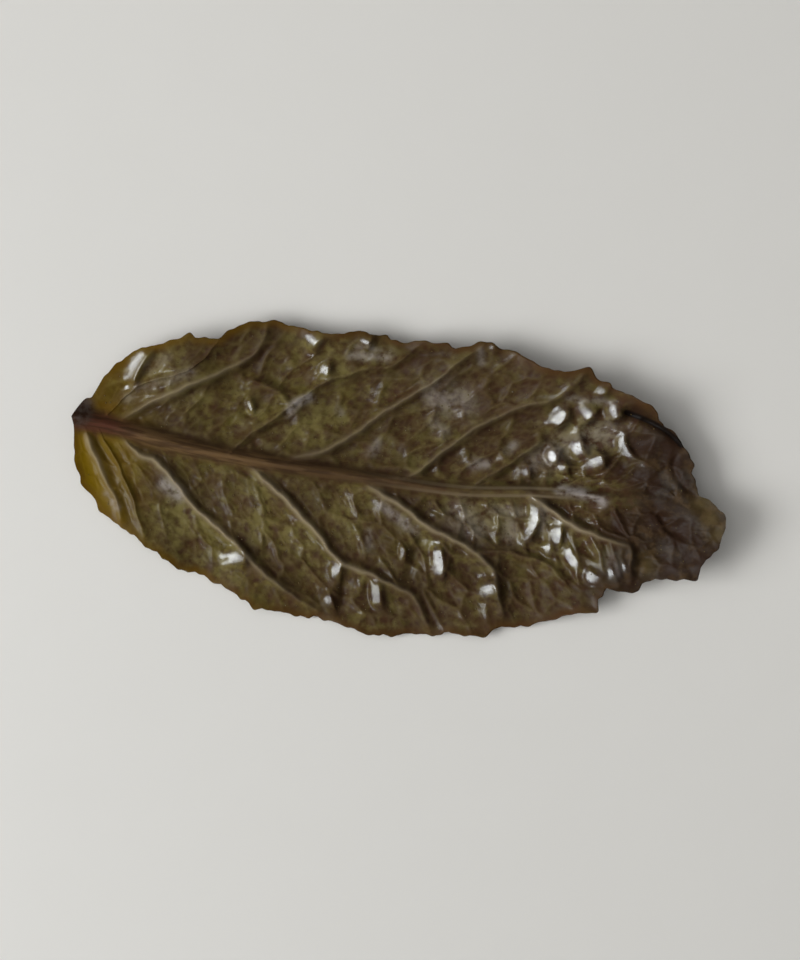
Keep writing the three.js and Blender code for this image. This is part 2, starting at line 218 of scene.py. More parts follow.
# Folds: how high, how wide, and their crests; a negative one is a groove.
FOLDS = [
    (0.22, 0.4, [(33, 0.4), (35.2, 0.4), (37.6, 0)]),
    (-0.65, 0.34, [(37.4, 6.3), (38.6, 6.05), (39.6, 5.75), (40.5, 5.35), (41.5, 4.7)]),
    (0.2, 0.7, [(39.8, 4.6), (39.6, 3.7), (39.2, 2.6)]),
    (0.2, 0.8, [(41.4, 2.2), (42.7, 0.7), (44, -1.2)]),
    (-0.2, 0.4, [(40.2, 0.6), (41, -0.5), (42.6, -1.7)]),
    (0.2, 0.7, [(39.2, -1.6), (41, -2.2), (42.8, -2.2)]),
    (-0.25, 0.25, [(41.2, 4.3), (41.2, 3.2), (41.8, 2.2), (43, 1.4)]),
    (-0.2, 0.25, [(40, -4.8), (40.3, -3.4), (41.6, -3)]),
    (-0.2, 0.2, [(13.3, -7.3), (13.6, -7.6), (13.9, -7.9)]),
    (-0.25, 0.4, [(21.6, 8.1), (23, 7.9), (24.6, 8.3)]),
    (-0.3, 0.35, [(20.1, -8.4), (20.3, -9.4), (20.2, -10.6)]),
    (-0.28, 0.35, [(24.9, -4.7), (24.7, -5.8), (24.5, -7.3)]),
]
FOLD_TAPER = 0.5  # how much lower a fold is at its ends
# Grooves are also painted dark as shade.
GROOVE_SHADE = 2.4  # how dark a groove is, for its depth

# Puckers: the blade climbs away from the window to a short sharp crest, and drops behind it.
# Each: the middle of its gleam, the gleam's half length and width, its crest's bow, its wetness.
PUCKERS = [
    ((33, 5.2), 0.6, 0.7, 0.2, 1), ((34.8, 5.8), 0.45, 0.75, 0.1, 1), ((36.6, 6.1), 0.4, 0.75, 0.1, 1),
    ((37.7, 3.9), 0.75, 0.45, -0.1, 1), ((34.6, 3.3), 0.55, 0.6, 0, 1), ((36, 2.6), 0.45, 1, 0.2, 1),
    ((33, 2.5), 0.4, 0.5, 0.2, 1), ((33.8, 1.8), 0.3, 0.45, 0, 0.7), ((35.5, 7.4), 0.3, 0.4, 0.2, 0.4),
    ((27.5, 9.2), 0.3, 0.4, 0, 0.6), ((32.5, -2.1), 1.5, 0.5, 0.35, 1),
    ((34.2, -2.9), 0.6, 0.6, 0.1, 0.9), ((33.7, -3.9), 0.35, 0.4, 0, 1), ((35.4, -4.2), 0.7, 0.5, 0, 1),
    ((37.1, -5.3), 0.5, 0.5, 0, 1), ((38.2, -4.9), 0.5, 0.5, 0, 1), ((39, -4.3), 0.3, 0.3, 0, 0.5),
    ((26.5, -6.1), 1, 0.55, 0.1, 1), ((30.2, -7.4), 0.5, 0.9, 0.2, 1),
    ((22.6, -9), 0.7, 0.5, 0.1, 0.45), ((19.6, -7.9), 0.5, 0.5, 0, 0.7),
    ((19.4, -10), 0.4, 0.45, 0, 0.4), ((12.6, -8.1), 0.5, 1.1, 0.2, 1),
    ((15.3, 7.6), 0.45, 0.7, -0.2, 1), ((16.5, 5.7), 0.35, 0.5, 0.1, 1), ((18.9, 8.1), 0.35, 0.6, 0, 1),
    ((11.8, 2.4), 0.35, 0.3, 0.1, 0.5), ((3.6, 3.8), 1.2, 0.6, -0.1, 0.9),
    ((23.9, -5.8), 0.35, 0.3, 0.2, 0.25), ((31.4, 1.1), 0.3, 0.35, 0.1, 0.4),
]
GLEAM_PLACE = 0.25  # where the gleam's middle is, as a share of the climb before the crest
GLEAM_SHARE = 0.5  # the gleam's share of the climb
GLEAM_REACH_BESIDE, GLEAM_REACH_AHEAD = 1.4, 0.72  # in its half lengths and its widths
GLEAM_EDGE = (1.15, 0.75)
GLEAM_RAGGEDNESS = 0.22
GLEAM_WAVES = [(1, 7.1, 3.3, 0), (1, -4.7, 8.9, 0)]
CLIMB_POWER = 1.7
CREST_OVERHANG = 0.5  # how far the crest runs on past the gleam's ends
CREST_WHOLE = 0.8  # the share of the gleam's half length where the crest keeps its height
CREST_NARROWING = 0.2  # how much shorter the climb is at the gleam's ends
NARROWEST_CLIMB = 0.3
WINDOW_AZIMUTH = math.radians(21)  # the way that a wall facing the window rises
PUCKER_DROP = 0.42
PUCKER_DROP_POWER = 1.5
PUCKER_STEEPEST = 0.75
# The net is calm on a pucker's climb, and comes back just behind its crest.
CALM_START = (-1, -0.6)
CALM_END = (0.15, 0)
# The shade painted behind a crest: how far behind, how wide, and behind how wide a gleam it is full.
BACK_GAP, BACK_WIDTH, FULL_BACK_GLEAM = 0.3, 0.25, 0.5
PROBE = 0.3  # slopes are measured over twice this length

# ---------------- patches of colour and of wetness

# Bruised, darker places of the blade, and fresher, lighter ones: place and reach.
BRUISES = [
    ((6.5, 0.3), 1.8), ((10.5, 6.2), 2), ((19.8, -9.7), 1.3), ((22.5, 7.3), 1.6), ((28.7, 6.4), 1.9),
    ((30.6, 7.4), 1.5), ((32, -7.6), 0.8), ((24, 7.6), 1.1), ((28.6, 2.8), 1.2), ((25.7, -8.6), 1.7),
    ((22.6, -4.6), 1.5), ((28.5, -7.4), 1.4), ((20.2, -9.3), 1), ((24.6, -5.6), 0.9), ((12, 6.3), 1.3),
    ((12.6, 3.1), 0.8), ((15.8, -8.2), 0.9), ((22.4, 6), 0.9), ((30.3, 5), 1), ((23.2, 8), 1.2),
    ((11, 5.6), 1), ((4.2, -1.9), 0.7), ((5.6, -4), 0.8), ((24, -1.9), 0.8), ((21.4, -4), 0.6),
    ((28, -8.4), 1), ((36, -3.9), 0.6), ((9.6, -3.7), 0.8), ((22.5, 8.2), 1), ((24.3, 8.3), 1),
    ((39, 2.1), 0.9), ((22, 3), 1), ((42, -3.7), 0.8), ((40.6, 4.3), 0.8), ((26.2, -10.2), 1),
    ((28, 3.4), 1.3), ((19.4, 3.2), 0.8), ((31, 4), 0.9), ((44, -3), 1.1), ((30.2, 8.2), 1),
    ((11.5, 7.8), 0.7), ((13.5, -7.7), 0.4), ((34.3, -6.9), 2), ((37.6, 2.3), 0.9), ((17.5, -2.2), 0.7),
    ((7.4, 5), 0.8), ((40.7, -0.5), 1.1), ((38.3, -1.4), 1.1), ((38.9, 4.3), 1.2), ((42.4, -1.4), 1.3),
    ((38.2, 7), 1.1), ((41.3, 3.5), 0.8), ((40, 1.9), 0.6), ((44.9, -1.6), 0.5), ((36.4, -6.3), 1),
    ((39.8, -5.2), 0.5),
]
FRESH_PLACES = [
    ((16.4, 2), 1.9), ((7.6, -6.5), 1.8), ((13.6, -6), 1.9), ((13.6, -3), 1.2), ((7.6, 2.3), 1.4),
    ((29.6, -1.9), 2), ((17.2, 5.6), 1.3), ((33.6, 0.9), 1.2), ((38.2, -3.8), 1.3), ((25.2, -5), 1.1),
    ((34.4, 4.4), 1.9), ((34.6, -3.6), 1.6), ((15.4, 1.6), 1.6), ((8.6, -6), 2), ((16.5, -5.7), 1.5),
    ((40.4, -3.8), 0.8), ((44.2, 0.1), 0.7), ((11.8, -8.4), 1), ((5, 4.2), 1.4), ((32.8, -1.9), 0.8),
    ((19.6, -3.9), 1.4), ((6.4, 2), 1), ((12, 2), 1), ((15, 8), 1.3), ((20, 7.8), 1), ((26.2, 8), 0.8),
    ((43.6, 1), 0.8), ((44.9, -0.9), 0.6), ((24, 0.3), 0.8),
]
# Painted sheen: pale patches painted where the wet surface would reflect the light softly: how strong, how
# wide, and their courses.
PAINTED_SHEENS = [
    (0.25, 0.4, [(3.3, 1.5), (5.2, 2.8), (7.3, 3.9)]), (0.45, 0.3, [(18, 6.95), (20.5, 7.3)]),
    (0.3, 0.25, [(18.4, 7.6), (20.6, 7.75)]), (0.4, 1, [(24.4, 5.2), (26.1, 5)]),
    (0.3, 0.5, [(24.5, 3.3), (25.2, 2.9)]), (0.5, 0.3, [(21.6, -2.6), (22.6, -3.3), (23.8, -4)]),
    (0.3, 0.3, [(21.3, -4.9), (21.6, -6)]), (0.55, 0.35, [(27.6, 1), (28.5, 1.1)]),
    (0.5, 0.3, [(29.8, 2.4), (30.1, 2.7)]), (1, 0.33, [(33.8, 0.35), (35.2, 0.25), (36.8, 0)]),
    (0.4, 0.25, [(3, -5.2), (3.8, -6.1)]), (0.65, 0.45, [(6.7, -3.9), (7.9, -4.6)]),
    (0.3, 0.25, [(33.2, 6.6), (34.8, 6.7), (36.4, 6.7)]), (0.35, 0.25, [(26.8, 8.8), (27, 8)]),
    (0.8, 0.28, [(14.5, 2.2), (14.7, 2.9), (15.7, 3.7)]), (0.4, 0.35, [(20.7, 0.8), (20.8, 1.3)]),
    (0.3, 0.9, [(32, 1.8), (34, 3.6), (36.4, 4.7)]), (0.3, 0.6, [(30.8, -2.6), (31, -3.6)]),
    (0.3, 0.9, [(27.3, -2.6), (28.6, -3.3)]), (0.25, 0.5, [(32.9, -1.5), (33.2, -2.6)]),
    (0.2, 0.4, [(4.5, 3.6), (5.4, 4.6)]), (0.35, 0.25, [(17.8, 3.1), (18, 2.9)]),
    (0.25, 0.5, [(38, -3.6), (38.6, -4.4)]), (0.3, 0.45, [(29.6, -1.9), (31.4, -1.7)]),
    (0.35, 0.3, [(23.8, -4), (24.5, -4.3)]),
]
WET_PLACE = ((4.2, 3.8), 2.4)
WET_PLACE_SOAKING = 0.12
# The rest of the blade is hardly soaked near the stalk, more so outwards, and dry at the tip.
LEAST_SOAKED, SOAKING = 0.02, 0.08
SOAKED_START = (12, 31)
SOAKED_END = (38.5, 36.5)
BRUISE_DRYING = (0.6, 0.1)
# The stalk end is painted yellow, most of all along its -Y margin: partly its own colour, partly painted
# light shining through the thin blade there.
STALK_END_REACH = 5
YELLOW_MARGIN = 1.9
YELLOW_MARGIN_START = (0.6, 1.4)
YELLOWING = 0.35
YELLOWING_START = (0.6, 1.6)
# Ovals: the middle and the two half widths.
STUB = ((0.35, 0.2), (0.85, 1.25))
GOLD_SPOT = ((1.9, 0.7), (0.8, 0.4))

# ---------------- the net's cells, measured in their own pitch

CELL_JITTER = 0.7
NET_WOBBLE = 0.5
NET_WOBBLE_SCALE = 1.1
SHALLOWEST_CELL, CELL_DEPTH_SPREAD = 0.65, 0.7
GREY = (0.5, 0.5, 0.5)  # the middle of all random colours
LEAN_RANGE = 2.0  # makes what is within half a unit of grey reach a whole one
COOKED_FLATTENING = 0.35
FLATTENED_RUN = (0.84, 0.94)
PUCKER_CALM = 0.9
THREAD_WIDTH = 0.07
FINE_SCALE = 3.3
FINE_JITTER = 0.9
FINE_WIDTH = 0.16
RIPPLE_SCALE = 210.0
VEIN_CLEARANCE = 0.0006  # metres
GLAND_MARGIN_GAP = 0.0004  # metres
GLAND_FLOOR = 0.55  # glands stand only where a cell is this deep
SMALLEST_GLAND = 0.55

# ---------------- tones: where along the leaf each starts and is full, as shares of its length

FRESH_RUN = (0.8, 0.15)
BROWN_RUN = (0.3, 0.7)
RED_RUN = (0.66, 0.84)
COOKED_RUN = (0.83, 0.92)
CHARRED_RUN = (0.78, 0.84)
SPARED_RUN = (0.86, 0.9)
RUSTY_RIM_RUN = (0.1, 0.5)
PALE_VEIN_RUN = (0.95, 0.75)
MIDRIB_RUN = (0.9, 0.3)
MIDRIB_TAN_RUN = (0.05, 0.12)
MIDRIB_SHADE_RUN = (0.26, 0.34)
# And how far in from the margin, in metres.
RIM_RUN = (0.0007, 0.0001)
DRIER_MARGIN = (0.0, 0.0006)

# ---------------- stage

FLOOR_WEAR = 0.97
VIEW_ROLL = math.radians(9.7)  # the tip points a little down and to the right
VIEW_CENTRE = (0.00025, 0.00028)
IMAGE_WIDTH, IMAGE_HEIGHT = 800, 960
SENSOR_LONG_SIDE = 36.0  # millimetres
NEAREST, FARTHEST = 0.01, 20.0
WARM_DAYLIGHT = (1.0, 0.985, 0.96)
COOL_SKY = (0.9, 0.955, 1.0)
# Lights: how far right and up in the picture they stand, and how high.
WINDOW_PLACE = (-0.4, -0.083, 0.345)
FILL_PLACE = (-0.3, -0.06, 0.75)
WINDOW_SIDE = 0.3
GLINT_SIDE = 0.27
FILL_SIDE = 1.0


# ---------------- settings


def length(name, description, default, largest=0.1):
    return bpy.props.FloatProperty(
        name=name, description=description, default=default, min=0.0, max=largest,
        precision=5, subtype="DISTANCE", unit="LENGTH",
    )


def share(name, description, default):
    return bpy.props.FloatProperty(
        name=name, description=description, default=default, min=0.0, max=1.0, subtype="FACTOR",
    )


def power(name, description, default):
    return bpy.props.FloatProperty(
        name=name, description=description, default=default, min=0.0, subtype="POWER", unit="POWER",
    )


def colour(name, description, default):
    return bpy.props.FloatVectorProperty(
        name=name, description=description, default=default, size=3, min=0.0, max=1.0,
        subtype="COLOR",
    )


class LeafShape(bpy.types.PropertyGroup):
    """Sizes of the leaf's relief and of how it lies."""

    thickness: length("Blade Thickness", "Between the two faces", 0.00046)
    margin_thickness: length("Margin Thickness", "At the very edge of the blade", 0.00026)
    midrib_width: length("Midrib Half Width", "From crest to foot, at the stalk", 0.0009)
    midrib_rise: length("Midrib Rise", "Above the blade, at the stalk", 0.00085)
    vein_width: length("Side Vein Half Width", "From crest to foot", 0.00021)
    vein_rise: length("Side Vein Rise", "Above the blade, at its root", 0.00017)
    quilt_depth: length("Quilt Depth", "How far panels sink between veins", 0.00028)
    net_depth: length("Net Depth", "Cell floor below its net, at the stalk", 0.0002)
    tip_net_depth: length("Tip Net Depth", "Cell floor below its net, at the tip", 0.0004)
    net_wall: share("Net Wall", "Width of a cell's slope, as a share of its pitch", 0.2)
    cell_tilt: length("Cell Tilt", "How far a cell's floor leans, over one pitch", 0.00013)
    fine_net_depth: length("Fine Net Depth", "Small veinlets inside the cells", 0.000038)
    ripple: length("Ripple", "Slow unevenness of the whole blade", 0.00016)
    tip_curl: length("Tip Curl", "How far the tip stands off the surface", 0.0023)
    far_edge_curl: length("Far Edge Curl", "The +Y margin near the tip", 0.0015)
    near_edge_curl: length("Near Edge Curl", "The +Y margin near the stalk", 0.0007)
    margin_wave: length("Margin Wave", "Height of the margin's waves", 0.0003)
    stalk_end_lift: length("Stalk End Lift", "The +Y margin beside the stalk", 0.0014)
    pucker_slant: bpy.props.FloatProperty(
        name="Pucker Slant", description="How steep each pucker's wall stands",
        default=math.radians(25.5), min=0.0, max=math.radians(60.0), subtype="ANGLE", unit="ROTATION",
    )


class GlandSettings(bpy.types.PropertyGroup):
    """Oil glands that dot the underside."""

    radius: length("Gland Radius", "Radius of one oil gland", 0.00006)
    density: bpy.props.FloatProperty(
        name="Glands per Area", description="Glands on each square metre", default=1.6e6, min=0.0,
    )
    seed: bpy.props.IntProperty(name="Seed", description="Picks the glands' places", default=7)


class LeafFinish(bpy.types.PropertyGroup):
    """Colours of the leaf and of its glands."""

    olive: colour("Olive", "Blade between the veins", (0.101, 0.066, 0.0175))
    dark_olive: colour("Dark Olive", "Darker cells, flecks and bruises", (0.041, 0.0195, 0.010))
    fresh: colour("Fresh Olive", "Greener blade near the stalk", (0.114, 0.090, 0.015))
    moss: colour("Moss", "Greener places of the blade", (0.108, 0.093, 0.022))
    fleck: colour("Flecks", "Small pale flecks of the blade", (0.168, 0.142, 0.047))
    # Painted shade beside the veins and the midrib and in creases; also the tip's real dark flecks, its
    # charred places and the torn stalk.
    stain_and_shade: colour("Stain", "Dark side of each vein", (0.030, 0.0148, 0.0085))
    # Painted black shade in the deepest creases and grooves.
    gap: colour("Gap", "Black gaps under the deepest folds", (0.008, 0.0055, 0.004))
    brown: colour("Brown", "Browner blade towards the tip", (0.092, 0.057, 0.027))
    russet: colour("Russet", "Redder places of the blade", (0.060, 0.027, 0.013))
    net: colour("Net", "Raised net and oil glands", (0.120, 0.090, 0.034))
    vein: colour("Side Veins", "Crests of the side veins", (0.27, 0.22, 0.14))
    midrib: colour("Midrib", "Purple brown midrib, at the stalk", (0.090, 0.034, 0.020))
    midrib_tan: colour("Midrib Middle", "Tan brown midrib, further out", (0.134, 0.080, 0.036))
    midrib_shade: colour("Midrib Fibres", "Darker fibres of the midrib", (0.040, 0.021, 0.011))
    # Painted sheen: a pale colour laid where the wet surface would reflect the light.
    painted_sheen: colour("Film", "Pale places where the wet skin has lifted", (0.34, 0.31, 0.295))
    # Partly the blade's own yellow, partly painted light shining through the thin blade.
    base: colour("Stalk End", "Yellow blade round the stalk", (0.180, 0.112, 0.002))
    gold_margin: colour("Stalk Margin", "Golden edge near the stalk", (0.115, 0.062, 0.004))
    margin: colour("Margin", "Rusty edge", (0.075, 0.036, 0.011))
    tip: colour("Tip", "Overcooked tip", (0.030, 0.018, 0.009))
    # Greyish patches of the tip: partly its own colour, partly a painted dull sheen.
    ash_and_sheen: colour("Ash", "Greyish patches of the tip", (0.066, 0.060, 0.054))
    cut: colour("Cut Stalk", "Torn end of the stalk", (0.060, 0.044, 0.036))


class StageSettings(bpy.types.PropertyGroup):
    """Floor, light and camera."""

    floor_colour: colour("Floor", "Plain pale floor", (0.74, 0.738, 0.715))
    floor_size: length("Floor Size", "Side of the square floor", 2.4, 10.0)
    window_power: power("Window Power", "Soft light from the left", 1.85)
    glint_power: power("Glint Power", "The window as the wet blade reflects it", 9.4)
    fill_power: power("Fill Power", "Soft light from the left and above", 3.05)
    room_strength: bpy.props.FloatProperty(
        name="Room Light", description="Strength of the room's own light", default=0.15, min=0.0,
    )
    lens: bpy.props.FloatProperty(
        name="Lens", description="Focal length in millimetres", default=135.0, min=10.0,
        subtype="DISTANCE_CAMERA",
    )
    view_width: length("View Width", "Floor seen from left to right", 0.0555, 1.0)


def own_settings(group):
    """Each setting of a group, by its identifier: its name and its value."""
    properties = group.bl_rna.properties
    return {key: (properties[key].name, getattr(group, key)) for key in type(group).__annotations__}


# ---------------- curves in the leaf's plane


def distances_along(places):
    """How far each place is along the line through them all."""
    return np.concatenate([[0.0], np.cumsum(np.hypot(*np.diff(places, axis=0).T))])


def curve_through(points, step=None, count=None):
    """Evenly spaced places on a smooth curve through the points."""
    knots = np.array(points, float)
    before = np.vstack([knots[:1], knots[:-2]])
    after = np.vstack([knots[2:], knots[-1:]])
    t = np.linspace(0.0, 1.0, SPLINE_SAMPLES, endpoint=False)[:, None]
    stretches = []
    for k in range(len(knots) - 1):
        leave = (knots[k + 1] - before[k]) / 2
        arrive = (after[k] - knots[k]) / 2
        gap = knots[k + 1] - knots[k]
        cubic = (leave + arrive - 2 * gap) * t**3 + (3 * gap - 2 * leave - arrive) * t**2
        stretches.append(knots[k] + leave * t + cubic)
    dense = np.vstack([*stretches, knots[-1:]])
    travelled = distances_along(dense)
    if count is None:
        count = max(3, int(round(travelled[-1] / step)) + 1)
    stops = np.linspace(0.0, travelled[-1], count)
    return np.stack([np.interp(stops, travelled, dense[:, axis]) for axis in (0, 1)], axis=1)


def toothed_margin(points, teeth, outward):
    """One margin from the stalk to the tip, one place for each column of the blade's grid."""
    places = curve_through(points, count=COLUMNS + 1)
    stops = distances_along(places)
    along = np.gradient(places, axis=0)
    along /= np.hypot(*along.T)[:, None]
    normal = np.stack([-along[:, 1], along[:, 0]], axis=1) * outward
    rise = np.zeros(len(places))
    for tooth_x, height in teeth:
        ahead = stops - stops[np.argmin(np.abs(places[:, 0] - tooth_x))]
        climb = np.clip(1 + ahead / TOOTH_RUN, 0, 1) ** TOOTH_HOLLOW
        drop = np.clip(1 - ahead / TOOTH_DROP, 0, 1)
        rise = np.maximum(rise, height * np.where(ahead <= 0, climb, drop))
    ragged = np.zeros(len(places))
    for wavelength, depth in MARGIN_RAGS:
        ragged += depth * np.array([simplex(Vector((stop / wavelength, outward, 0))) for stop in stops])
    ends = np.clip(np.minimum(stops / SMOOTH_START, (stops[-1] - stops) / SMOOTH_END), 0, 1)
    window = np.hanning(2 * int(TOOTH_ROUNDING * COLUMNS / stops[-1]) + 3)
    rounded = np.convolve(rise + ragged * ends, window / window.sum(), "same")
    rounded[[0, -1]] = 0
    return places + (normal + TOOTH_LEAN * along) * rounded[:, None]


def gap_to_line(line, places):
    """Each place's distance to a line, how far along it that is, and whether it is on its left."""
    nearest = np.full(len(places), np.inf)
    reached = np.zeros(len(places))
    on_left = np.zeros(len(places), bool)
    for k in range(len(line) - 1):
        step = line[k + 1] - line[k]
        offset = places - line[k]
        along = np.clip(offset @ step / (step @ step), 0, 1)
        gap = np.hypot(*(offset - along[:, None] * step).T)
        closer = gap < nearest
        nearest[closer] = gap[closer]
        reached[closer] = (k + along[closer]) / (len(line) - 1)
        on_left[closer] = (step[0] * offset[:, 1] - step[1] * offset[:, 0] > 0)[closer]
    return nearest, reached, on_left


def smooth_ramp(value, start, end):
    """0 at start, 1 at end, eased between them."""
    t = np.clip((value - start) / (end - start), 0, 1)
    return t * t * (3 - 2 * t)


def falloff(gap, width, power=2):
    """1 at zero, falling away over the width."""
    return np.exp(-((gap / width) ** power))


def waves(places, rows):
    """A sum of slanted waves."""
    x, y = places.T
    return sum(height * np.sin(by_x * x + by_y * y + start) for height, by_x, by_y, start in rows)


def spots(places, centres):
    """1 at each listed centre, falling away over its reach."""
    nearness = np.zeros(len(places))
    for centre, reach in centres:
        nearness = np.maximum(nearness, falloff(np.hypot(*(places - centre).T), reach))
    return nearness


def courses(places, listed):
    """As strong as each listed course on it, falling away over the course's width."""
    nearness = np.zeros(len(places))
    for strength, width, course in listed:
        gap, _, _ = gap_to_line(curve_through(course, FOLD_STEP), places)
        nearness = np.maximum(nearness, strength * falloff(gap, width))
    return nearness


def oval(places, centre, half_widths, power=2):
    """1 at the centre, falling away over the oval's half widths."""
    return falloff(np.hypot(*((places - centre) / half_widths).T), 1, power)


# ---------------- the blade


def blade_sheet(lower, upper, columns, rows):
    """Places of one face and its quads: both halves, sharing the midrib, stalk and tip."""
    every = len(lower) // columns
    root_share = np.linspace(0, 1, columns + 1) ** ROOT_CROWDING
    midrib = curve_through(MIDRIB, ROOT_STEP)
    picks = root_share * (len(midrib) - 1)
    roots = np.stack([np.interp(picks, np.arange(len(midrib)), midrib[:, a]) for a in (0, 1)], axis=1)
    places, quads = [], []
    for margin, turn in ((lower[::every], -1), (upper[::every], 1)):
        start = len(places) * (columns + 1) * (rows + 1)
        t = np.linspace(0, 1, rows + 1)[:, None, None]
        places.append((roots * (1 - t) + margin * t).reshape(-1, 2))
        corner = start + np.arange(rows)[:, None] * (columns + 1) + np.arange(columns)
        around = [corner, corner + 1, corner + columns + 2, corner + columns + 1]
        quads.append(np.stack(around[::turn], axis=-1).reshape(-1, 4))
    return np.vstack(places), np.vstack(quads)


def margin_wall(under_start):
    """The narrow faces that join both faces of the blade all round its margin."""
    walls = []
    for half, turn in ((0, 1), (1, -1)):
        top_edge = half * (COLUMNS + 1) * (ROWS + 1) + ROWS * (COLUMNS + 1)
        under_edge = under_start + half * (UNDER_COLUMNS + 1) * (UNDER_ROWS + 1)
        under_edge += UNDER_ROWS * (UNDER_COLUMNS + 1)
        for k in range(UNDER_COLUMNS):
            top = top_edge + k * UNDERSIDE_SHARE
            wall = [under_edge + k, under_edge + k + 1, *range(top + UNDERSIDE_SHARE, top - 1, -1)]
            walls.append(wall[::turn])
    return walls


def wander(places):
    """Small waves that keep the veins from running too evenly."""
    both = [waves(places, LENGTHWAYS_WAVES), waves(places, SIDEWAYS_WAVES)]
    return VEIN_WANDER * np.stack(both, axis=1)


def folds(places):
    """Long soft folds and grooves of the limp blade."""
    rise = np.zeros(len(places))
    for height, width, crest in FOLDS:
        gap, along, _ = gap_to_line(curve_through(crest, FOLD_STEP), places)
        rise += height * falloff(gap, width) * (1 - FOLD_TAPER * np.abs(2 * along - 1))
    return rise


def puckers(places, outline, shape):
    """Short climbs that tip the blade to one slant: their rise, their calm, gleams, and the shade painted
    behind their crests.
    """
    centres = np.array([pucker[0] for pucker in PUCKERS], float)
    uphill = math.tan(shape.pucker_slant) * np.array([math.cos(WINDOW_AZIMUTH), math.sin(WINDOW_AZIMUTH)])
    own_slopes = uphill - slope_at(centres, outline, shape)
    slope_of_gleam = CLIMB_POWER * (1 - GLEAM_PLACE) ** (CLIMB_POWER - 1)
    ragged = 1 + GLEAM_RAGGEDNESS * waves(places, GLEAM_WAVES)
    rise, calm, gleam, back = np.zeros((4, len(places)))
    for (centre, half_length, width, bow, wetness), own_slope in zip(PUCKERS, own_slopes):
        steepness = np.hypot(*own_slope)
        ahead = own_slope / steepness
        offset = places - centre
        beside = offset @ (-ahead[1], ahead[0])
        narrowing = np.maximum(1 - CREST_NARROWING * (beside / half_length) ** 2, NARROWEST_CLIMB)
        climb = width / GLEAM_SHARE * narrowing
        across = offset @ ahead - GLEAM_PLACE * width / GLEAM_SHARE + bow * beside**2 / half_length
        ridge = falloff(np.maximum(np.abs(beside) - CREST_WHOLE * half_length, 0), CREST_OVERHANG)
        before = np.clip(1 + across / climb, 0, 1) ** CLIMB_POWER
        after = falloff(np.maximum(across, 0), PUCKER_DROP, PUCKER_DROP_POWER)
        height = min(steepness, PUCKER_STEEPEST) * climb / slope_of_gleam
        rise = np.maximum(rise, height * before * after * ridge)
        on_climb = smooth_ramp(across / climb, *CALM_START) * smooth_ramp(across, *CALM_END)
        calm = np.maximum(calm, on_climb * ridge)
        from_middle = across + GLEAM_PLACE * climb
        aside = beside / (GLEAM_REACH_BESIDE * half_length)
        spread = np.hypot(aside, from_middle / (GLEAM_REACH_AHEAD * width)) * ragged
        gleam = np.maximum(gleam, wetness * smooth_ramp(spread, *GLEAM_EDGE))
        # Painted shade just behind the crest, where the blade drops away from the light.
        shade = falloff(across - BACK_GAP, BACK_WIDTH) * ridge * min(1, width / FULL_BACK_GLEAM)
        back = np.maximum(back, shade)
    return rise, calm, gleam, back


def slope_at(places, outline, shape):
    """How steeply the visible face climbs along X and Y, before its net and its puckers."""
    climbs = []
    for step in np.array([(PROBE, 0), (0, PROBE)]):
        ends = []
        for probed in (places - step, places + step):
            facts = survey(probed, outline, shape)
            quilt = shape.quilt_depth * facts["panel"] * facts["inward"]
            ends.append(lie(probed, facts["margin_gap"] / MM, shape) + (facts["rib"] - quilt) / MM)
        climbs.append((ends[1] - ends[0]) / (2 * PROBE))
    return np.stack(climbs, axis=1)


def lie(places, margin_gap, shape):
    """How the limp blade lies: its tip and its +Y margin stand clear of the surface."""
    x, y = places.T
    tip = shape.tip_curl / MM * smooth_ramp(x, *TIP_CURL_RUN) ** TIP_CURL_BEND
    far_edge = shape.far_edge_curl / MM * smooth_ramp(y, *FAR_EDGE_ACROSS) * smooth_ramp(x, *FAR_EDGE_ALONG)
    near_edge = shape.near_edge_curl / MM * smooth_ramp(y, *NEAR_EDGE_ACROSS)
    outward = (places - LIFT_START) @ (math.cos(LIFT_AZIMUTH), math.sin(LIFT_AZIMUTH))
    lift = shape.stalk_end_lift / MM * smooth_ramp(outward, 0, LIFT_RUN) * smooth_ramp(x, *LIFT_END)
    phase = 2 * np.pi * x / WAVE_LENGTH + WAVE_SHIFT * smooth_ramp(y, *WAVE_SHIFT_RUN)
    wave = shape.margin_wave / MM * np.sin(phase) * np.exp(-margin_gap / WAVE_REACH)
    rest_gap = np.min([np.hypot(*(places - rest).T) for rest in REST_SPOTS], axis=0)
    low = REST_BOW * falloff(rest_gap, REST_BOW_REACH)
    return tip + far_edge + near_edge + lift + wave + folds(places) - low


def net_place(places):
    """The net is laid out on a slanted lattice that crowds towards the tip."""
    x, y = places.T
    back = x - CELL_SLANT * np.hypot(y, CELL_SLANT_ROUNDING)
    across = y * (1 + 2 * CELL_CROWDING * back)
    return np.stack([back + CELL_CROWDING * back**2, across, np.zeros(len(places))], axis=1) / CELL_PITCH


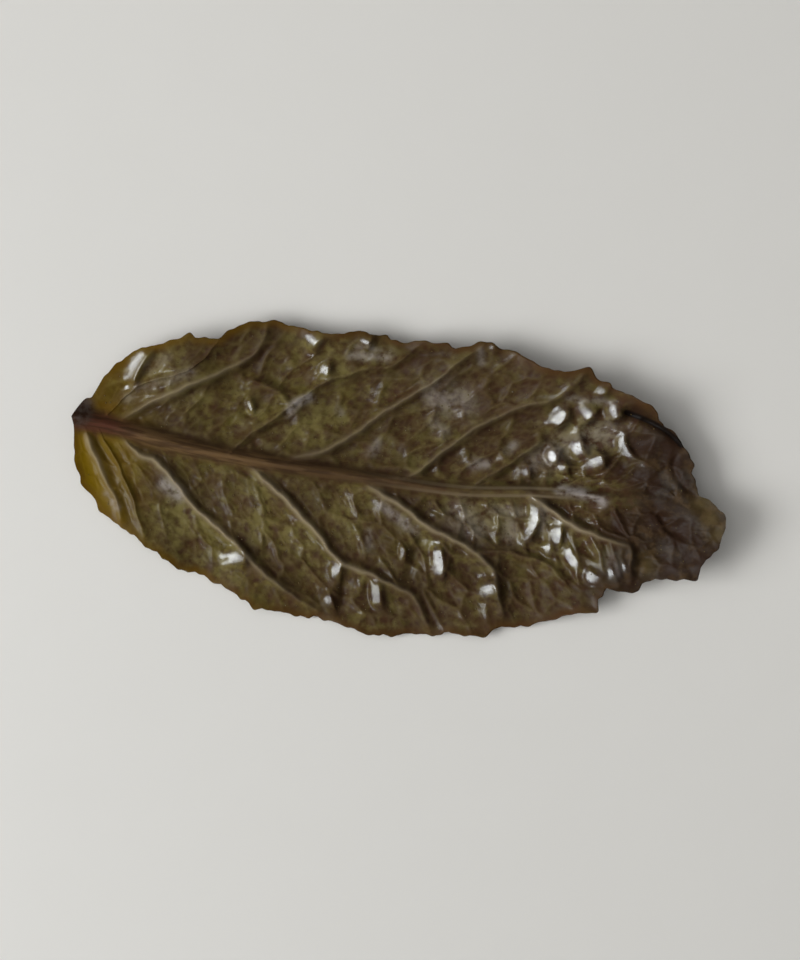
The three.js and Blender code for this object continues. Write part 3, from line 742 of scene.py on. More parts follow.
def midrib_facts(places, shape):
    """The midrib: it thins and sinks along the leaf, and splits in two before it ends."""
    x = places[:, 0]
    gap, along, above = gap_to_line(curve_through(MIDRIB, VEIN_STEP), places)
    width = shape.midrib_width / MM * (1 + (MIDRIB_TAPER - 1) * along)
    ending = smooth_ramp(x, *MIDRIB_FADE[::-1])
    crest = (1 + (MIDRIB_SINKING - 1) * np.sqrt(along)) * ending
    flare = 1 + MIDRIB_FLARE * smooth_ramp(x, *MIDRIB_FLARE_RUN)
    dark = FAINT_CREASE + DARKER_CREASE * smooth_ramp(x, *MIDRIB_CREASE_DARK)
    # Painted shade in a crease along the midrib's +Y side.
    crease = falloff(gap - MIDRIB_CREASE * width, CREASE_WIDTH) * above
    crease *= smooth_ramp(x, *MIDRIB_CREASE_START) * dark * smooth_ramp(x, *MIDRIB_CREASE_END)
    slope = gap / np.where(above, STEEP_REACH, GENTLE_REACH)
    strands = falloff(gap - STRAND_GAP, STRAND_WIDTH)
    strands *= smooth_ramp(x, *STRAND_START) * smooth_ramp(x, *STRAND_END)
    return {
        "gap": gap - MIDRIB_FOOT * width,
        "rise": shape.midrib_rise * crest * falloff(gap, MIDRIB_CREST * width),
        "mask": falloff(gap, MIDRIB_COLOUR * flare * width, FLAT_TOP) * ending,
        "strands": strands,
        "slope": slope + SUNK_BEYOND * smooth_ramp(x, *MIDRIB_FADE),
        "crease": crease,
        # Painted shade spreading from the midrib's +Y side.
        "stain_and_shade": falloff(gap, MIDRIB_PAINTED_SHADE_REACH) * above * smooth_ramp(x, *MIDRIB_PAINTED_SHADE_RUN),
    }


def vein_facts(places, shape):
    """The side veins: their cords and pale lines, and the creases and painted shade on their tip side."""
    rise, line, crease, stain_and_shade = np.zeros((4, len(places)))
    nearest, slope = np.full((2, len(places)), np.inf)
    for prominence, vein in SIDE_VEINS:
        gap, along, on_left = gap_to_line(curve_through(vein, VEIN_STEP), places)
        nearest = np.minimum(nearest, gap)
        crest = prominence * (1 + (VEIN_SINKING - 1) * along)
        width = VEIN_ROOT_WIDTH - VEIN_NARROWING * along
        rise = np.maximum(rise, crest * falloff(gap, width * shape.vein_width / MM))
        fade = smooth_ramp(along, *VEIN_LINE_START) * smooth_ramp(along, *VEIN_LINE_END)
        line = np.maximum(line, prominence**3 * fade * falloff(gap, width * VEIN_LINE))
        tip_side = on_left if vein[-1][1] < 0 else ~on_left
        reach = np.where(tip_side, STEEP_REACH, GENTLE_REACH) * prominence
        slope = np.minimum(slope, gap / reach)
        # A crease at the vein's foot on its tip side, sunk and painted dark as shade.
        edge = falloff(gap - CREASE_GAP, CREASE_WIDTH) * tip_side * crest
        crease = np.maximum(crease, edge * smooth_ramp(along, *CREASE_START))
        # Painted shade spreading from the vein on its tip side.
        stain_and_shade = np.maximum(stain_and_shade, prominence * falloff(gap, PAINTED_SHADE_REACH) * tip_side)
    return {
        "gap": nearest, "rise": rise, "line": line, "slope": slope, "crease": crease, "stain_and_shade": stain_and_shade,
    }


def patch_facts(places, wandered, margin_gap):
    """Where the blade is bruised, fresh, painted with sheen, soaked, yellow, torn or golden."""
    x, y = places.T
    bruise = spots(wandered, BRUISES)
    soaked = (LEAST_SOAKED + SOAKING * smooth_ramp(x, *SOAKED_START)) * smooth_ramp(x, *SOAKED_END)
    wet_place = WET_PLACE_SOAKING * spots(places, [WET_PLACE])
    yellow_margin = falloff(margin_gap, YELLOW_MARGIN, FLAT_TOP) * smooth_ramp(-y, *YELLOW_MARGIN_START)
    yellowing = YELLOWING + YELLOWING * smooth_ramp(-y, *YELLOWING_START)
    return {
        "bruise": bruise,
        "freshness": spots(wandered, FRESH_PLACES),
        "painted_sheen": courses(wandered, PAINTED_SHEENS),
        "soaked": np.maximum(soaked * smooth_ramp(bruise, *BRUISE_DRYING), wet_place),
        "stalk_end": falloff(x, STALK_END_REACH, FLAT_TOP) * np.maximum(yellow_margin, yellowing),
        "stub": oval(places, *STUB, power=FLAT_TOP),
        "gold_spot": oval(places, *GOLD_SPOT),
    }


def survey(places, outline, shape):
    """Everything the relief and the colours need to know about each place of the blade."""
    x = places[:, 0]
    wandered = places + wander(places)
    margin_gap, _, _ = gap_to_line(outline, places)
    midrib, veins = midrib_facts(places, shape), vein_facts(wandered, shape)
    # Grooves get painted shade for their depth.
    grooves = [(-GROOVE_SHADE * height, width, course) for height, width, course in FOLDS if height < 0]
    crease = np.max([midrib["crease"], veins["crease"], courses(places, grooves)], axis=0)
    slope = np.minimum(midrib["slope"], veins["slope"])
    return {
        "rib": np.maximum(midrib["rise"], shape.vein_rise * veins["rise"]),
        "rib_gap": np.minimum(midrib["gap"], veins["gap"]) * MM,
        "midrib_mask": midrib["mask"],
        "vein_mask": np.maximum(veins["line"] * (1 - midrib["mask"]), STRAND_SHARE * midrib["strands"]),
        "crease": crease,
        "stain_and_shade": np.maximum(midrib["stain_and_shade"], veins["stain_and_shade"]),
        "panel": 1 - np.exp(-slope) + CREASE_DEPTH * crease * (x < CREASE_LIMIT),
        "inward": 1 - np.exp(-margin_gap / MARGIN_FLATTENING),
        "margin_gap": margin_gap * MM,
        "along": x / TIP[0],
        **patch_facts(places, wandered, margin_gap),
    }


def surface_under(outline, shape):
    """The floor's height under the untilted blade, from the plane through its three low spots."""
    rests = np.array(REST_SPOTS, float)
    facts = survey(rests, outline, shape)
    depth = shape.net_depth + (shape.tip_net_depth - shape.net_depth) * facts["along"]
    sunk = (shape.quilt_depth * facts["panel"] + depth) * facts["inward"] / MM
    low = lie(rests, facts["margin_gap"] / MM, shape) - sunk
    plane = np.linalg.solve(np.column_stack([rests, np.ones(len(rests))]), low)
    return lambda places: places @ plane[:2] + plane[2]


def blade_mesh(shape):
    """The leaf before its relief: two faces, the wall round its margin, and what the relief reads."""
    lower = toothed_margin(LOWER_MARGIN, LOWER_TEETH, -1)
    upper = toothed_margin(UPPER_MARGIN, UPPER_TEETH, 1)
    outline = np.vstack([lower, upper[::-1]])[::OUTLINE_SHARE]
    top_places, top_quads = blade_sheet(lower, upper, COLUMNS, ROWS)
    under_places, under_quads = blade_sheet(lower, upper, UNDER_COLUMNS, UNDER_ROWS)
    under_start = len(top_places)
    under_quads = under_quads[:, ::-1] + under_start
    faces = [*top_quads.tolist(), *under_quads.tolist(), *margin_wall(under_start)]
    places = np.vstack([top_places, under_places])
    visible = np.arange(len(places)) < under_start

    facts = survey(places, outline, shape)
    facts["rib"] = np.where(visible, facts["rib"], 0)
    facts["visible"] = visible.astype(float)
    rise, facts["calm"], gleam, back = puckers(places, outline, shape)
    # The painted shade behind each crest joins the creases' painted shade.
    facts["crease"] = np.maximum(facts["crease"], back)
    facts["soaked"] = np.maximum(facts["soaked"], gleam)

    lying = lie(places, facts["margin_gap"] / MM, shape)
    underside = (lying + rise - surface_under(outline, shape)(places)) * MM
    thickness = shape.margin_thickness + (shape.thickness - shape.margin_thickness) * facts["inward"]
    height = underside + np.where(visible, thickness, 0) + facts["rib"]
    centre = (outline.min(axis=0) + outline.max(axis=0)) / 2
    middle = (CAD_LOW + CAD_HIGH) / 2
    level = places * MM - centre * MM + np.array([middle.x, middle.y])

    mesh = bpy.data.meshes.new("leaf")
    mesh.from_pydata(np.column_stack([level, height]).tolist(), [], faces)
    for name, values in facts.items():
        attribute = mesh.attributes.new(name, "FLOAT", "POINT")
        attribute.data.foreach_set("value", values.astype(np.float32))
    lattice = mesh.attributes.new("net_place", "FLOAT_VECTOR", "POINT")
    lattice.data.foreach_set("vector", net_place(places).astype(np.float32).ravel())
    weld(mesh)
    return mesh


def weld(mesh):
    """Joins what coincides: the midrib of both halves, the stalk's fan and the tip."""
    shell = bmesh.new()
    shell.from_mesh(mesh)
    bmesh.ops.remove_doubles(shell, verts=shell.verts, dist=WELD_GAP)
    shell.to_mesh(mesh)
    shell.free()


# ---------------- node helpers


def plug(tree, value, socket):
    """Gives a socket what it takes: another socket's value, or a plain one."""
    if isinstance(value, bpy.types.NodeSocket):
        tree.links.new(value, socket)
    else:
        socket.default_value = value


def node(tree, kind, inputs=(), **settings):
    """Adds a node with its settings, fills its inputs and returns its outputs."""
    new = tree.nodes.new(kind)
    for name, value in settings.items():
        setattr(new, name, value)
    for key, value in dict(inputs).items():
        plug(tree, value, new.inputs[key])
    return new.outputs


def calc(tree, operation, *values):
    """A Math node on sockets or plain numbers; works in shader and geometry trees."""
    return node(tree, "ShaderNodeMath", enumerate(values), operation=operation)[0]


def times(tree, first, *others):
    """The product of all the values."""
    for other in others:
        first = calc(tree, "MULTIPLY", first, other)
    return first


def line_through(tree, value, slope, start):
    """The value times its slope, plus the start."""
    return calc(tree, "MULTIPLY_ADD", value, slope, start)


def one_minus(tree, value):
    return calc(tree, "SUBTRACT", 1.0, value)


def soft_step(tree, value, start, end):
    """0 at start, 1 at end, eased between them."""
    inputs = {"Value": value, "From Min": start, "From Max": end}
    return node(tree, "ShaderNodeMapRange", inputs, interpolation_type="SMOOTHSTEP")["Result"]


def soft_steps(tree, value, start, end, most):
    """A soft step that ends below 1."""
    return times(tree, soft_step(tree, value, start, end), most)


def bell(tree, value, width):
    """1 at zero, falling away over the width."""
    ratio = calc(tree, "DIVIDE", value, width)
    return calc(tree, "EXPONENT", times(tree, ratio, ratio, -1.0))


def vector_calc(tree, operation, first, second):
    outputs = node(tree, "ShaderNodeVectorMath", {0: first, 1: second}, operation=operation)
    return outputs["Value" if operation == "DOT_PRODUCT" else "Vector"]


def scaled(tree, vector, factor):
    return node(tree, "ShaderNodeVectorMath", {0: vector, "Scale": factor}, operation="SCALE")[0]


def noise(tree, vector, scale, detail, output="Fac"):
    return node(tree, "ShaderNodeTexNoise", {"Vector": vector, "Scale": scale, "Detail": detail})[output]


def voronoi(tree, vector, scale, feature, randomness):
    inputs = {"Vector": vector, "Scale": scale, "Randomness": randomness}
    return node(tree, "ShaderNodeTexVoronoi", inputs, voronoi_dimensions="2D", feature=feature)


def read_attribute(tree, name, kind="FLOAT"):
    """A named value of the surface, in a geometry tree."""
    return node(tree, "GeometryNodeInputNamedAttribute", {"Name": name}, data_type=kind)["Attribute"]


def group_tree(kind, name, inputs, outputs):
    """A node tree with its own sockets: the tree, what it is given and what it gives back."""
    tree = bpy.data.node_groups.new(name, kind)
    for direction, sockets in (("INPUT", inputs), ("OUTPUT", outputs)):
        for label, carries in sockets.items():
            tree.interface.new_socket(label, in_out=direction, socket_type="NodeSocket" + carries)
    return tree, node(tree, "NodeGroupInput"), tree.nodes.new("NodeGroupOutput").inputs


def geometry_tree(name, inputs):
    """A geometry tree that changes a mesh and gives it a material."""
    inputs = {"Geometry": "Geometry", **inputs, "Material": "Material"}
    return group_tree("GeometryNodeTree", name, inputs, {"Geometry": "Geometry"})


def finish_tree(tree, geometry, material, result):
    """Every geometry tree ends in plain, smooth, painted mesh."""
    realized = node(tree, "GeometryNodeRealizeInstances", {0: geometry})[0]
    smooth = node(tree, "GeometryNodeSetShadeSmooth", {"Geometry": realized})[0]
    painted = node(tree, "GeometryNodeSetMaterial", {"Geometry": smooth, "Material": material})[0]
    plug(tree, painted, result["Geometry"])


def grow(name, mesh, tree, values):
    """Runs a geometry tree on a mesh, its inputs given by name, and returns a plain object."""
    seed = bpy.data.objects.new(name + "_seed", mesh)
    bpy.context.scene.collection.objects.link(seed)
    modifier = seed.modifiers.new(name, "NODES")
    modifier.node_group = tree
    for item in tree.interface.items_tree:
        if item.name in values and item.in_out == "INPUT":
            modifier[item.identifier] = values[item.name]
    evaluated = seed.evaluated_get(bpy.context.evaluated_depsgraph_get())
    result = bpy.data.meshes.new_from_object(evaluated)
    result.name = name
    bpy.data.objects.remove(seed)
    return add_object(name, result)


def add_object(name, data):
    added = bpy.data.objects.new(name, data)
    bpy.context.scene.collection.objects.link(added)
    return added


# ---------------- geometry node trees


def net_cells(tree):
    """The net's own lattice, wobbled so that its cells are less even."""
    place = read_attribute(tree, "net_place", "FLOAT_VECTOR")
    wobble = vector_calc(tree, "SUBTRACT", noise(tree, place, NET_WOBBLE_SCALE, 1.0, "Color"), GREY)
    return vector_calc(tree, "ADD", place, scaled(tree, wobble, NET_WOBBLE))


def net_sinking(tree, given, cells, near_vein, calm):
    """How far the net's cells sink, each to its own depth and tilt, and what the material reads."""
    own = voronoi(tree, cells, 1.0, "F1", CELL_JITTER)
    own_share, own_tone = node(tree, "FunctionNodeSeparateColor", {0: own["Color"]})[:2]
    edge = voronoi(tree, cells, 1.0, "DISTANCE_TO_EDGE", CELL_JITTER)["Distance"]
    steps_in = calc(tree, "DIVIDE", times(tree, edge, -1.0), given["Net Wall"])
    floor = times(tree, one_minus(tree, calc(tree, "EXPONENT", steps_in)), near_vein)

    along = read_attribute(tree, "along")
    deepening = calc(tree, "SUBTRACT", given["Tip Net Depth"], given["Net Depth"])
    usual = line_through(tree, deepening, along, given["Net Depth"])
    own_depth = line_through(tree, own_share, CELL_DEPTH_SPREAD, SHALLOWEST_CELL)
    flattened = line_through(tree, soft_step(tree, along, *FLATTENED_RUN), -COOKED_FLATTENING, 1.0)
    lean = vector_calc(tree, "SUBTRACT", own["Color"], GREY)
    from_centre = vector_calc(tree, "SUBTRACT", cells, own["Position"])
    tilt = times(tree, vector_calc(tree, "DOT_PRODUCT", lean, from_centre), LEAN_RANGE)
    depth = line_through(tree, tilt, given["Cell Tilt"], times(tree, usual, own_depth, flattened))
    net = times(tree, floor, times(tree, depth, calm))
    return net, {"floor": floor, "thread": bell(tree, edge, THREAD_WIDTH), "cell_tone": own_tone}


def fine_sinking(tree, given, cells, near_vein, calm):
    """How far the small veinlets' cells sink, and how near each place is to their floor."""
    edge = voronoi(tree, cells, FINE_SCALE, "DISTANCE_TO_EDGE", FINE_JITTER)["Distance"]
    floor = one_minus(tree, bell(tree, edge, FINE_WIDTH))
    depth = times(tree, given["Fine Net Depth"], calm)
    return times(tree, floor, near_vein, depth), floor


def relief_tree():
    """Sinks panels between the veins and cells within the panels, and rests the low ones flat."""
    depths = ["Quilt Depth", "Net Depth", "Tip Net Depth", "Fine Net Depth"]
    sizes = dict.fromkeys([*depths, "Net Wall", "Cell Tilt", "Ripple"], "Float")
    tree, given, result = geometry_tree("Leaf Relief", sizes)
    position = node(tree, "GeometryNodeInputPosition")[0]
    calm = line_through(tree, read_attribute(tree, "calm"), -PUCKER_CALM, 1.0)
    near_vein = soft_step(tree, read_attribute(tree, "rib_gap"), 0.0, VEIN_CLEARANCE)

    cells = net_cells(tree)
    net, kept = net_sinking(tree, given, cells, near_vein, calm)
    fine, kept["fine_floor"] = fine_sinking(tree, given, cells, near_vein, calm)
    quilt = times(tree, read_attribute(tree, "panel"), given["Quilt Depth"])
    sunk = calc(tree, "ADD", calc(tree, "ADD", quilt, net), fine)
    sunk = times(tree, sunk, read_attribute(tree, "inward"))
    swell = calc(tree, "SUBTRACT", noise(tree, position, RIPPLE_SCALE, 2.0), 0.5)
    ripple = times(tree, swell, calm, given["Ripple"])
    move = node(tree, "ShaderNodeCombineXYZ", {"Z": calc(tree, "SUBTRACT", ripple, sunk)})[0]
    leaf = node(tree, "GeometryNodeSetPosition", {"Geometry": given["Geometry"], "Offset": move})[0]

    x, y, z = node(tree, "ShaderNodeSeparateXYZ", {0: position})
    on_floor = node(tree, "ShaderNodeCombineXYZ", {0: x, 1: y, 2: calc(tree, "MAXIMUM", z, 0.0)})[0]
    leaf = node(tree, "GeometryNodeSetPosition", {"Geometry": leaf, "Position": on_floor})[0]
    for name, value in kept.items():
        inputs = {"Geometry": leaf, "Name": name, "Value": value}
        leaf = node(tree, "GeometryNodeStoreNamedAttribute", inputs)[0]
    finish_tree(tree, leaf, given["Material"], result)
    return tree


def gland_tree():
    """Small oil glands scattered on the floors of the visible face's cells."""
    sizes = {"Gland Radius": "Float", "Glands per Area": "Float", "Seed": "Int"}
    tree, given, result = geometry_tree("Oil Glands", sizes)
    on_top = calc(tree, "GREATER_THAN", read_attribute(tree, "visible"), 0.5)
    on_floor = calc(tree, "GREATER_THAN", read_attribute(tree, "floor"), GLAND_FLOOR)
    inland = calc(tree, "GREATER_THAN", read_attribute(tree, "margin_gap"), GLAND_MARGIN_GAP)
    scattering = {
        "Mesh": given["Geometry"], "Selection": times(tree, on_top, on_floor, inland),
        "Density": given["Glands per Area"], "Seed": given["Seed"],
    }
    scatter = node(tree, "GeometryNodeDistributePointsOnFaces", scattering)
    bead = node(tree, "GeometryNodeMeshIcoSphere", {"Radius": given["Gland Radius"], "Subdivisions": 1})
    size = node(tree, "FunctionNodeRandomValue", {2: SMALLEST_GLAND, 3: 1.0, "Seed": given["Seed"]})[1]
    placing = {
        "Points": scatter["Points"], "Instance": bead["Mesh"], "Rotation": scatter["Rotation"],
        "Scale": size,
    }
    beads = node(tree, "GeometryNodeInstanceOnPoints", placing)[0]
    finish_tree(tree, beads, given["Material"], result)
    return tree


# ---------------- materials


def mottle_group():
    """Blotches and grain, shared by the leaf, its glands and the floor."""
    name = "Mottle"
    if name in bpy.data.node_groups:
        return bpy.data.node_groups[name]
    inputs = {"Vector": "Vector", "Blotch Scale": "Float", "Grain Scale": "Float"}
    tree, given, result = group_tree("ShaderNodeTree", name, inputs, {"Blotch": "Float", "Grain": "Float"})
    blotch = noise(tree, given["Vector"], given["Blotch Scale"], 4.0)
    plug(tree, soft_step(tree, blotch, 0.36, 0.66), result["Blotch"])
    plug(tree, noise(tree, given["Vector"], given["Grain Scale"], 5.0), result["Grain"])
    return tree


def mottle(tree, blotch_scale, grain_scale):
    """The blotches and the grain of a piece, at its material's own scales."""
    place = node(tree, "ShaderNodeTexCoord")["Object"]
    inputs = {"Vector": place, "Blotch Scale": blotch_scale, "Grain Scale": grain_scale}
    outputs = node(tree, "ShaderNodeGroup", inputs, node_tree=mottle_group())
    return outputs["Blotch"], outputs["Grain"]


def new_material(name, rgb):
    """A material, its node tree and its shader's inputs."""
    material = bpy.data.materials.new(name)
    material.use_nodes = True
    material.diffuse_color = (*rgb, 1.0)
    return material, material.node_tree, material.node_tree.nodes["Principled BSDF"].inputs


def surface_value(tree, name):
    """A named value of the surface, in a material."""
    return node(tree, "ShaderNodeAttribute", attribute_name=name)["Fac"]


MIX_COLOUR_INPUTS = (6, 7)  # the Mix node has a pair of inputs and an output for each kind of value
MIX_COLOUR_OUTPUT = 2


def blend_colour(tree, under, over, amount):
    """One colour laid over another."""
    pair = [value if isinstance(value, bpy.types.NodeSocket) else (*value, 1.0) for value in (under, over)]
    inputs = {"Factor": amount, **dict(zip(MIX_COLOUR_INPUTS, pair))}
    return node(tree, "ShaderNodeMix", inputs, data_type="RGBA")[MIX_COLOUR_OUTPUT]


def paint_coats(tree, paint, coats):
    """Lays coats over a colour: each is its own colour and how much of it shows."""
    for over, amount in coats:
        paint = blend_colour(tree, paint, over, amount)
    return paint


# What the survey and the relief leave on the leaf's surface for its material.
LEAF_VALUES = [
    "along", "bruise", "cell_tone", "crease", "painted_sheen", "fine_floor", "freshness", "gold_spot",
    "margin_gap", "midrib_mask", "soaked", "stain_and_shade", "stalk_end", "stub", "thread", "vein_mask", "visible",
]


def wet_leaf_material(finish):
    """Soaked leaf: mottled olive with pale veins, purple midrib, yellow base and brown tip."""
    material, tree, shader = new_material("wet_leaf", finish.olive)
    at = SimpleNamespace(**{name: surface_value(tree, name) for name in LEAF_VALUES})
    at.blotch, at.grain = mottle(tree, blotch_scale=170.0, grain_scale=2400.0)
    at.patch, at.fleck = mottle(tree, blotch_scale=420.0, grain_scale=1500.0)
    _, at.speck = mottle(tree, blotch_scale=800.0, grain_scale=880.0)
    at.cooked = soft_step(tree, line_through(tree, at.blotch, 0.05, at.along), *COOKED_RUN)
    paint = finish.olive
    for coats in (mottled_coats, aged_coats, tip_coats, rim_coats, rib_coats, last_coats):
        paint = paint_coats(tree, paint, coats(tree, finish, at))
    plug(tree, paint, shader["Base Color"])

    plug(tree, line_through(tree, at.grain, 0.25, 0.38), shader["Roughness"])
    soaked = times(tree, at.soaked, line_through(tree, at.patch, -0.25, 1.0))
    wet = times(tree, soaked, soft_step(tree, at.margin_gap, *DRIER_MARGIN))
    plug(tree, wet, shader["Coat Weight"])
    shader["Coat Roughness"].default_value = 0.17
    shader["Coat IOR"].default_value = 1.6
    shader["Specular IOR Level"].default_value = 0.03
    shader["Subsurface Weight"].default_value = 0.12
    shader["Subsurface Radius"].default_value = (0.6, 0.5, 0.15)
    shader["Subsurface Scale"].default_value = 0.0006
    pores = {"Height": at.grain, "Distance": 0.00003, "Strength": 0.5}
    plug(tree, node(tree, "ShaderNodeBump", pores)[0], shader["Normal"])
    return material


# The coats of each function below go on in their order: a colour, and how much of it shows. A soft
# step's numbers are where its noise lets the coat start and be full, and the most that shows.


def mottled_coats(tree, finish, at):
    """The blade's own colours: greener near the stalk, browner outwards, dark and pale flecks."""
    own_tone = soft_step(tree, at.cell_tone, 0.35, 0.9)
    return [
        (finish.fresh, times(tree, at.blotch, soft_step(tree, at.along, *FRESH_RUN))),
        (finish.brown, soft_steps(tree, at.along, *BROWN_RUN, 0.6)),
        (finish.dark_olive, line_through(tree, own_tone, 0.35, times(tree, at.patch, 0.5))),
        (finish.dark_olive, soft_steps(tree, at.fleck, 0.4, 0.68, 0.65)),
        (finish.dark_olive, soft_steps(tree, at.grain, 0.5, 0.6, 0.65)),
        (finish.fleck, soft_steps(tree, at.fleck, 0.54, 0.28, 0.6)),
        (finish.moss, soft_steps(tree, at.speck, 0.52, 0.62, 0.4)),
        (finish.russet, soft_steps(tree, at.speck, 0.48, 0.38, 0.65)),
    ]


def aged_coats(tree, finish, at):
    """What steeping has done: bruises, fresher places, painted shade by the veins, and a yellow stalk end
    that is partly painted light shining through.
    """
    fresh = times(tree, at.freshness, soft_steps(tree, at.fleck, 0.7, 0.35, 0.85))
    red = times(tree, soft_step(tree, at.along, *RED_RUN), soft_steps(tree, at.fleck, 0.52, 0.66, 0.7))
    return [
        (finish.dark_olive, times(tree, at.bruise, 0.6)),
        (finish.fleck, fresh),
        # Painted shade beside the veins and the midrib, on their side away from the light.
        (finish.stain_and_shade, times(tree, at.stain_and_shade, line_through(tree, at.patch, 0.35, 0.45))),
        (finish.net, times(tree, at.thread, 0.25)),
        (finish.net, times(tree, one_minus(tree, at.fine_floor), 0.24)),
        # Yellow stalk end: partly its own colour, partly painted light shining through the thin blade.
        (finish.base, times(tree, at.stalk_end, 0.95)),
        (finish.russet, red),
    ]


def tip_coats(tree, finish, at):
    """The overcooked tip, charred in places and spared in others."""
    tip = paint_coats(tree, finish.tip, [
        (finish.brown, soft_steps(tree, at.fleck, 0.45, 0.65, 0.6)),
        # Greyish patches, partly a painted dull sheen of the tip.
        (finish.ash_and_sheen, soft_steps(tree, at.patch, 0.5, 0.95, 0.4)),
        (finish.stain_and_shade, soft_steps(tree, at.fleck, 0.5, 0.32, 0.8)),
    ])
    return [
        (tip, at.cooked),
        (finish.stain_and_shade, times(tree, at.bruise, soft_steps(tree, at.along, *CHARRED_RUN, 0.95))),
        (finish.net, times(tree, at.freshness, soft_steps(tree, at.along, *SPARED_RUN, 0.5))),
    ]


def rim_coats(tree, finish, at):
    """The golden spot by the stalk, and the rim, from gold at the stalk to rust."""
    rim = blend_colour(tree, finish.gold_margin, finish.margin, soft_step(tree, at.along, *RUSTY_RIM_RUN))
    ragged = line_through(tree, at.patch, 0.5, 0.45)
    edge = times(tree, soft_step(tree, at.margin_gap, *RIM_RUN), ragged, one_minus(tree, at.cooked))
    return [(finish.gold_margin, at.gold_spot), (rim, edge)]


def rib_coats(tree, finish, at):
    """Painted shade in the creases, painted black shade in the deepest of them, pale side veins and the
    fibrous midrib.
    """
    shade = calc(tree, "MINIMUM", times(tree, at.crease, 0.65), 0.95)
    fibres = paint_coats(tree, finish.midrib, [
        (finish.midrib_tan, soft_step(tree, at.along, *MIDRIB_TAN_RUN)),
        (finish.midrib_shade, soft_steps(tree, at.along, *MIDRIB_SHADE_RUN, 0.45)),
        (finish.midrib_shade, times(tree, streaks(tree), 0.7)),
    ])
    return [
        # Painted shade in the creases.
        (finish.stain_and_shade, shade),
        # Painted black shade in the deepest creases.
        (finish.gap, soft_steps(tree, at.crease, 0.95, 1.4, 0.95)),
        (finish.vein, times(tree, at.vein_mask, soft_step(tree, at.along, *PALE_VEIN_RUN), 0.9)),
        (fibres, times(tree, at.midrib_mask, soft_step(tree, at.along, *MIDRIB_RUN))),
    ]


def last_coats(tree, finish, at):
    """Painted sheen, the torn end of the stalk, and the darker hidden face."""
    torn = blend_colour(tree, finish.stain_and_shade, finish.cut, soft_step(tree, at.grain, 0.35, 0.65))
    return [
        # Painted sheen: pale patches that stand for soft reflections of the wet surface.
        (finish.painted_sheen, times(tree, at.painted_sheen, soft_step(tree, at.fleck, 0.74, 0.38))),
        (torn, at.stub),
        (finish.dark_olive, times(tree, one_minus(tree, at.visible), 0.5)),
    ]


def streaks(tree):
    """Lengthwise fibres of the midrib."""
    place = node(tree, "ShaderNodeTexCoord")["Object"]
    stretched = node(tree, "ShaderNodeMapping", {"Vector": place, "Scale": (0.12, 1.0, 1.0)})[0]
    return soft_step(tree, noise(tree, stretched, 3200.0, 2.0), 0.4, 0.62)


def gland_material(finish):
    """Oil glands: small amber beads."""
    material, tree, shader = new_material("oil_gland", finish.net)
    blotch, grain = mottle(tree, blotch_scale=900.0, grain_scale=6000.0)
    plug(tree, blend_colour(tree, finish.net, finish.olive, blotch), shader["Base Color"])
    plug(tree, line_through(tree, grain, 0.2, 0.15), shader["Roughness"])
    return material


def floor_material(stage):
    """Plain pale floor with the faintest unevenness."""
    material, tree, shader = new_material("pale_floor", stage.floor_colour)
    blotch, grain = mottle(tree, blotch_scale=9.0, grain_scale=300.0)
    worn = [FLOOR_WEAR * level for level in stage.floor_colour]
    plug(tree, blend_colour(tree, stage.floor_colour, worn, blotch), shader["Base Color"])
    plug(tree, line_through(tree, grain, 0.1, 0.45), shader["Roughness"])
    return material


# ---------------- operators


class MINT_OT_leaf(bpy.types.Operator):
    """Make the wet leaf: blade, midrib, side veins, net and toothed margin."""

    bl_idname = "mint.leaf"
    bl_label = "Make Leaf"

    def execute(self, context):
        shape = context.scene.mint_shape
        values = dict(own_settings(shape).values())
        values["Material"] = wet_leaf_material(context.scene.mint_finish)
        leaf = grow("leaf", blade_mesh(shape), relief_tree(), values)
        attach(leaf, "root")
        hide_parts("mint_leaf")
        return {"FINISHED"}


class MINT_OT_glands(bpy.types.Operator):
    """Dot the leaf's visible face with oil glands."""

    bl_idname = "mint.glands"
    bl_label = "Make Oil Glands"

    def execute(self, context):
        values = dict(own_settings(context.scene.mint_glands).values())
        values["Material"] = gland_material(context.scene.mint_finish)
        glands = grow("oil_glands", bpy.data.objects["leaf"].data.copy(), gland_tree(), values)
        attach(glands, "root")
        return {"FINISHED"}


class MINT_OT_stage(bpy.types.Operator):
    """Make the floor, the window light, the room light and the camera."""

    bl_idname = "mint.stage"
    bl_label = "Make Stage"

    def execute(self, context):
        stage = context.scene.mint_stage
        make_floor(stage)
        make_lights(stage)
        make_camera(stage)
        context.scene.view_settings.view_transform = "Standard"
        return {"FINISHED"}


def make_floor(stage):
    half = stage.floor_size / 2
    mesh = bpy.data.meshes.new("floor")
    corners = [(-half, -half, 0), (half, -half, 0), (half, half, 0), (-half, half, 0)]
    mesh.from_pydata(corners, [], [(0, 1, 2, 3)])
    mesh.materials.append(floor_material(stage))
    add_object("floor", mesh)


def place_in_view(across, upwards, height):
    """A place given by how far right and up it is in the picture, and how high it stands."""
    right = Vector((math.cos(VIEW_ROLL), math.sin(VIEW_ROLL), 0))
    up = Vector((-math.sin(VIEW_ROLL), math.cos(VIEW_ROLL), 0))
    return right * across + up * upwards + Vector((0, 0, height))


def area_light(name, side, power_in_watts, location, tint=WARM_DAYLIGHT):
    """A square light that looks at the leaf."""
    light = bpy.data.lights.new(name, "AREA")
    light.size = side
    light.energy = power_in_watts
    light.color = tint
    lamp = add_object(name, light)
    lamp.location = location
    lamp.rotation_euler = (-location).to_track_quat("-Z", "Y").to_euler()
    return lamp


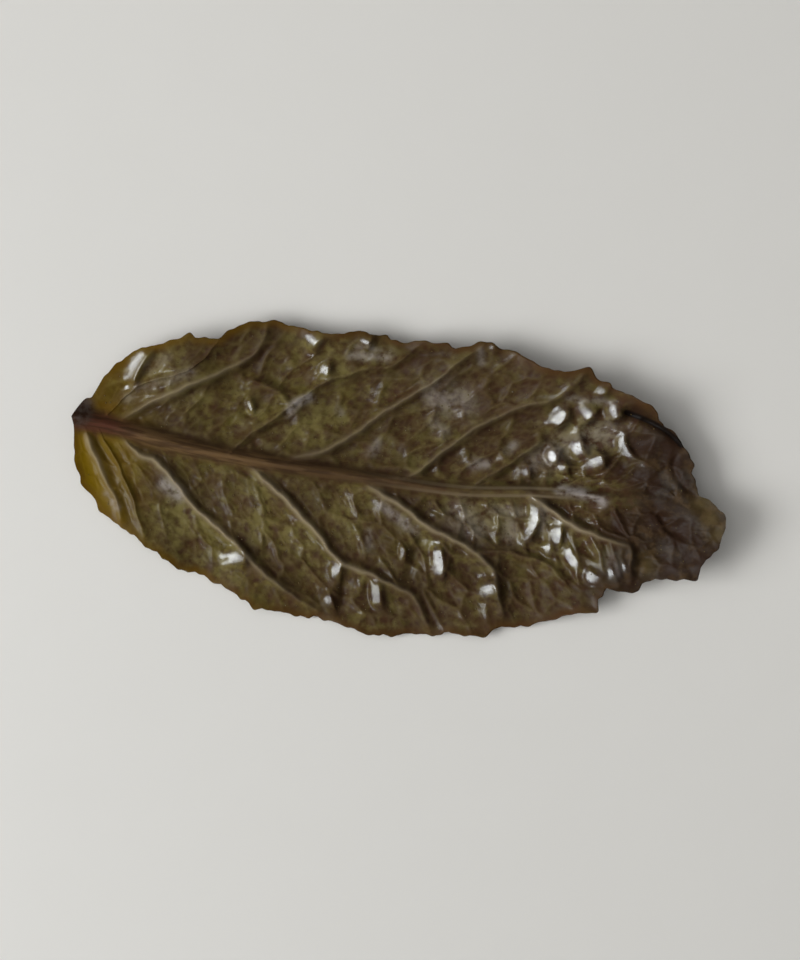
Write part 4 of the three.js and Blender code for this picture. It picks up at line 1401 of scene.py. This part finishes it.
def make_lights(stage):
    beside = place_in_view(*WINDOW_PLACE)
    area_light("window", WINDOW_SIDE, stage.window_power, beside).visible_glossy = False
    area_light("glint", GLINT_SIDE, stage.glint_power, beside, COOL_SKY).visible_diffuse = False
    area_light("fill", FILL_SIDE, stage.fill_power, place_in_view(*FILL_PLACE)).visible_glossy = False
    world = bpy.data.worlds.new("room")
    world.use_nodes = True
    background = world.node_tree.nodes["Background"].inputs
    background["Color"].default_value = (*WARM_DAYLIGHT, 1.0)
    background["Strength"].default_value = stage.room_strength
    bpy.context.scene.world = world


def make_camera(stage):
    lens = bpy.data.cameras.new("camera")
    lens.lens = stage.lens
    lens.sensor_width = SENSOR_LONG_SIDE
    lens.clip_start, lens.clip_end = NEAREST, FARTHEST
    view_height = stage.view_width * IMAGE_HEIGHT / IMAGE_WIDTH
    camera = add_object("camera", lens)
    camera.location = (*VIEW_CENTRE, view_height * stage.lens / SENSOR_LONG_SIDE)
    camera.rotation_euler = (0, 0, VIEW_ROLL)
    bpy.context.scene.camera = camera


class MINT_PT_panel(bpy.types.Panel):
    """Lists the leaf's settings and what can be made."""

    bl_label = "Steeped Mint Leaf"
    bl_idname = "MINT_PT_panel"
    bl_space_type = "VIEW_3D"
    bl_region_type = "UI"
    bl_category = "Mint Leaf"

    def draw(self, context):
        for title, settings, operator in (
            ("Leaf", context.scene.mint_shape, "mint.leaf"),
            ("Finish", context.scene.mint_finish, None),
            ("Oil Glands", context.scene.mint_glands, "mint.glands"),
            ("Stage", context.scene.mint_stage, "mint.stage"),
        ):
            box = self.layout.box()
            box.label(text=title)
            for name in own_settings(settings):
                box.prop(settings, name)
            if operator:
                box.operator(operator)


SETTINGS = {
    "mint_shape": LeafShape,
    "mint_finish": LeafFinish,
    "mint_glands": GlandSettings,
    "mint_stage": StageSettings,
}
CLASSES = [*SETTINGS.values(), MINT_OT_leaf, MINT_OT_glands, MINT_OT_stage, MINT_PT_panel]


def register():
    for each in CLASSES:
        bpy.utils.register_class(each)
    for name, group in SETTINGS.items():
        setattr(bpy.types.Scene, name, bpy.props.PointerProperty(type=group))


def unregister():
    for name in SETTINGS:
        delattr(bpy.types.Scene, name)
    for each in reversed(CLASSES):
        bpy.utils.unregister_class(each)


def main():
    register()
    bpy.ops.mint.leaf()
    bpy.ops.mint.glands()
    bpy.ops.mint.stage()


if __name__ == "__main__":
    main()
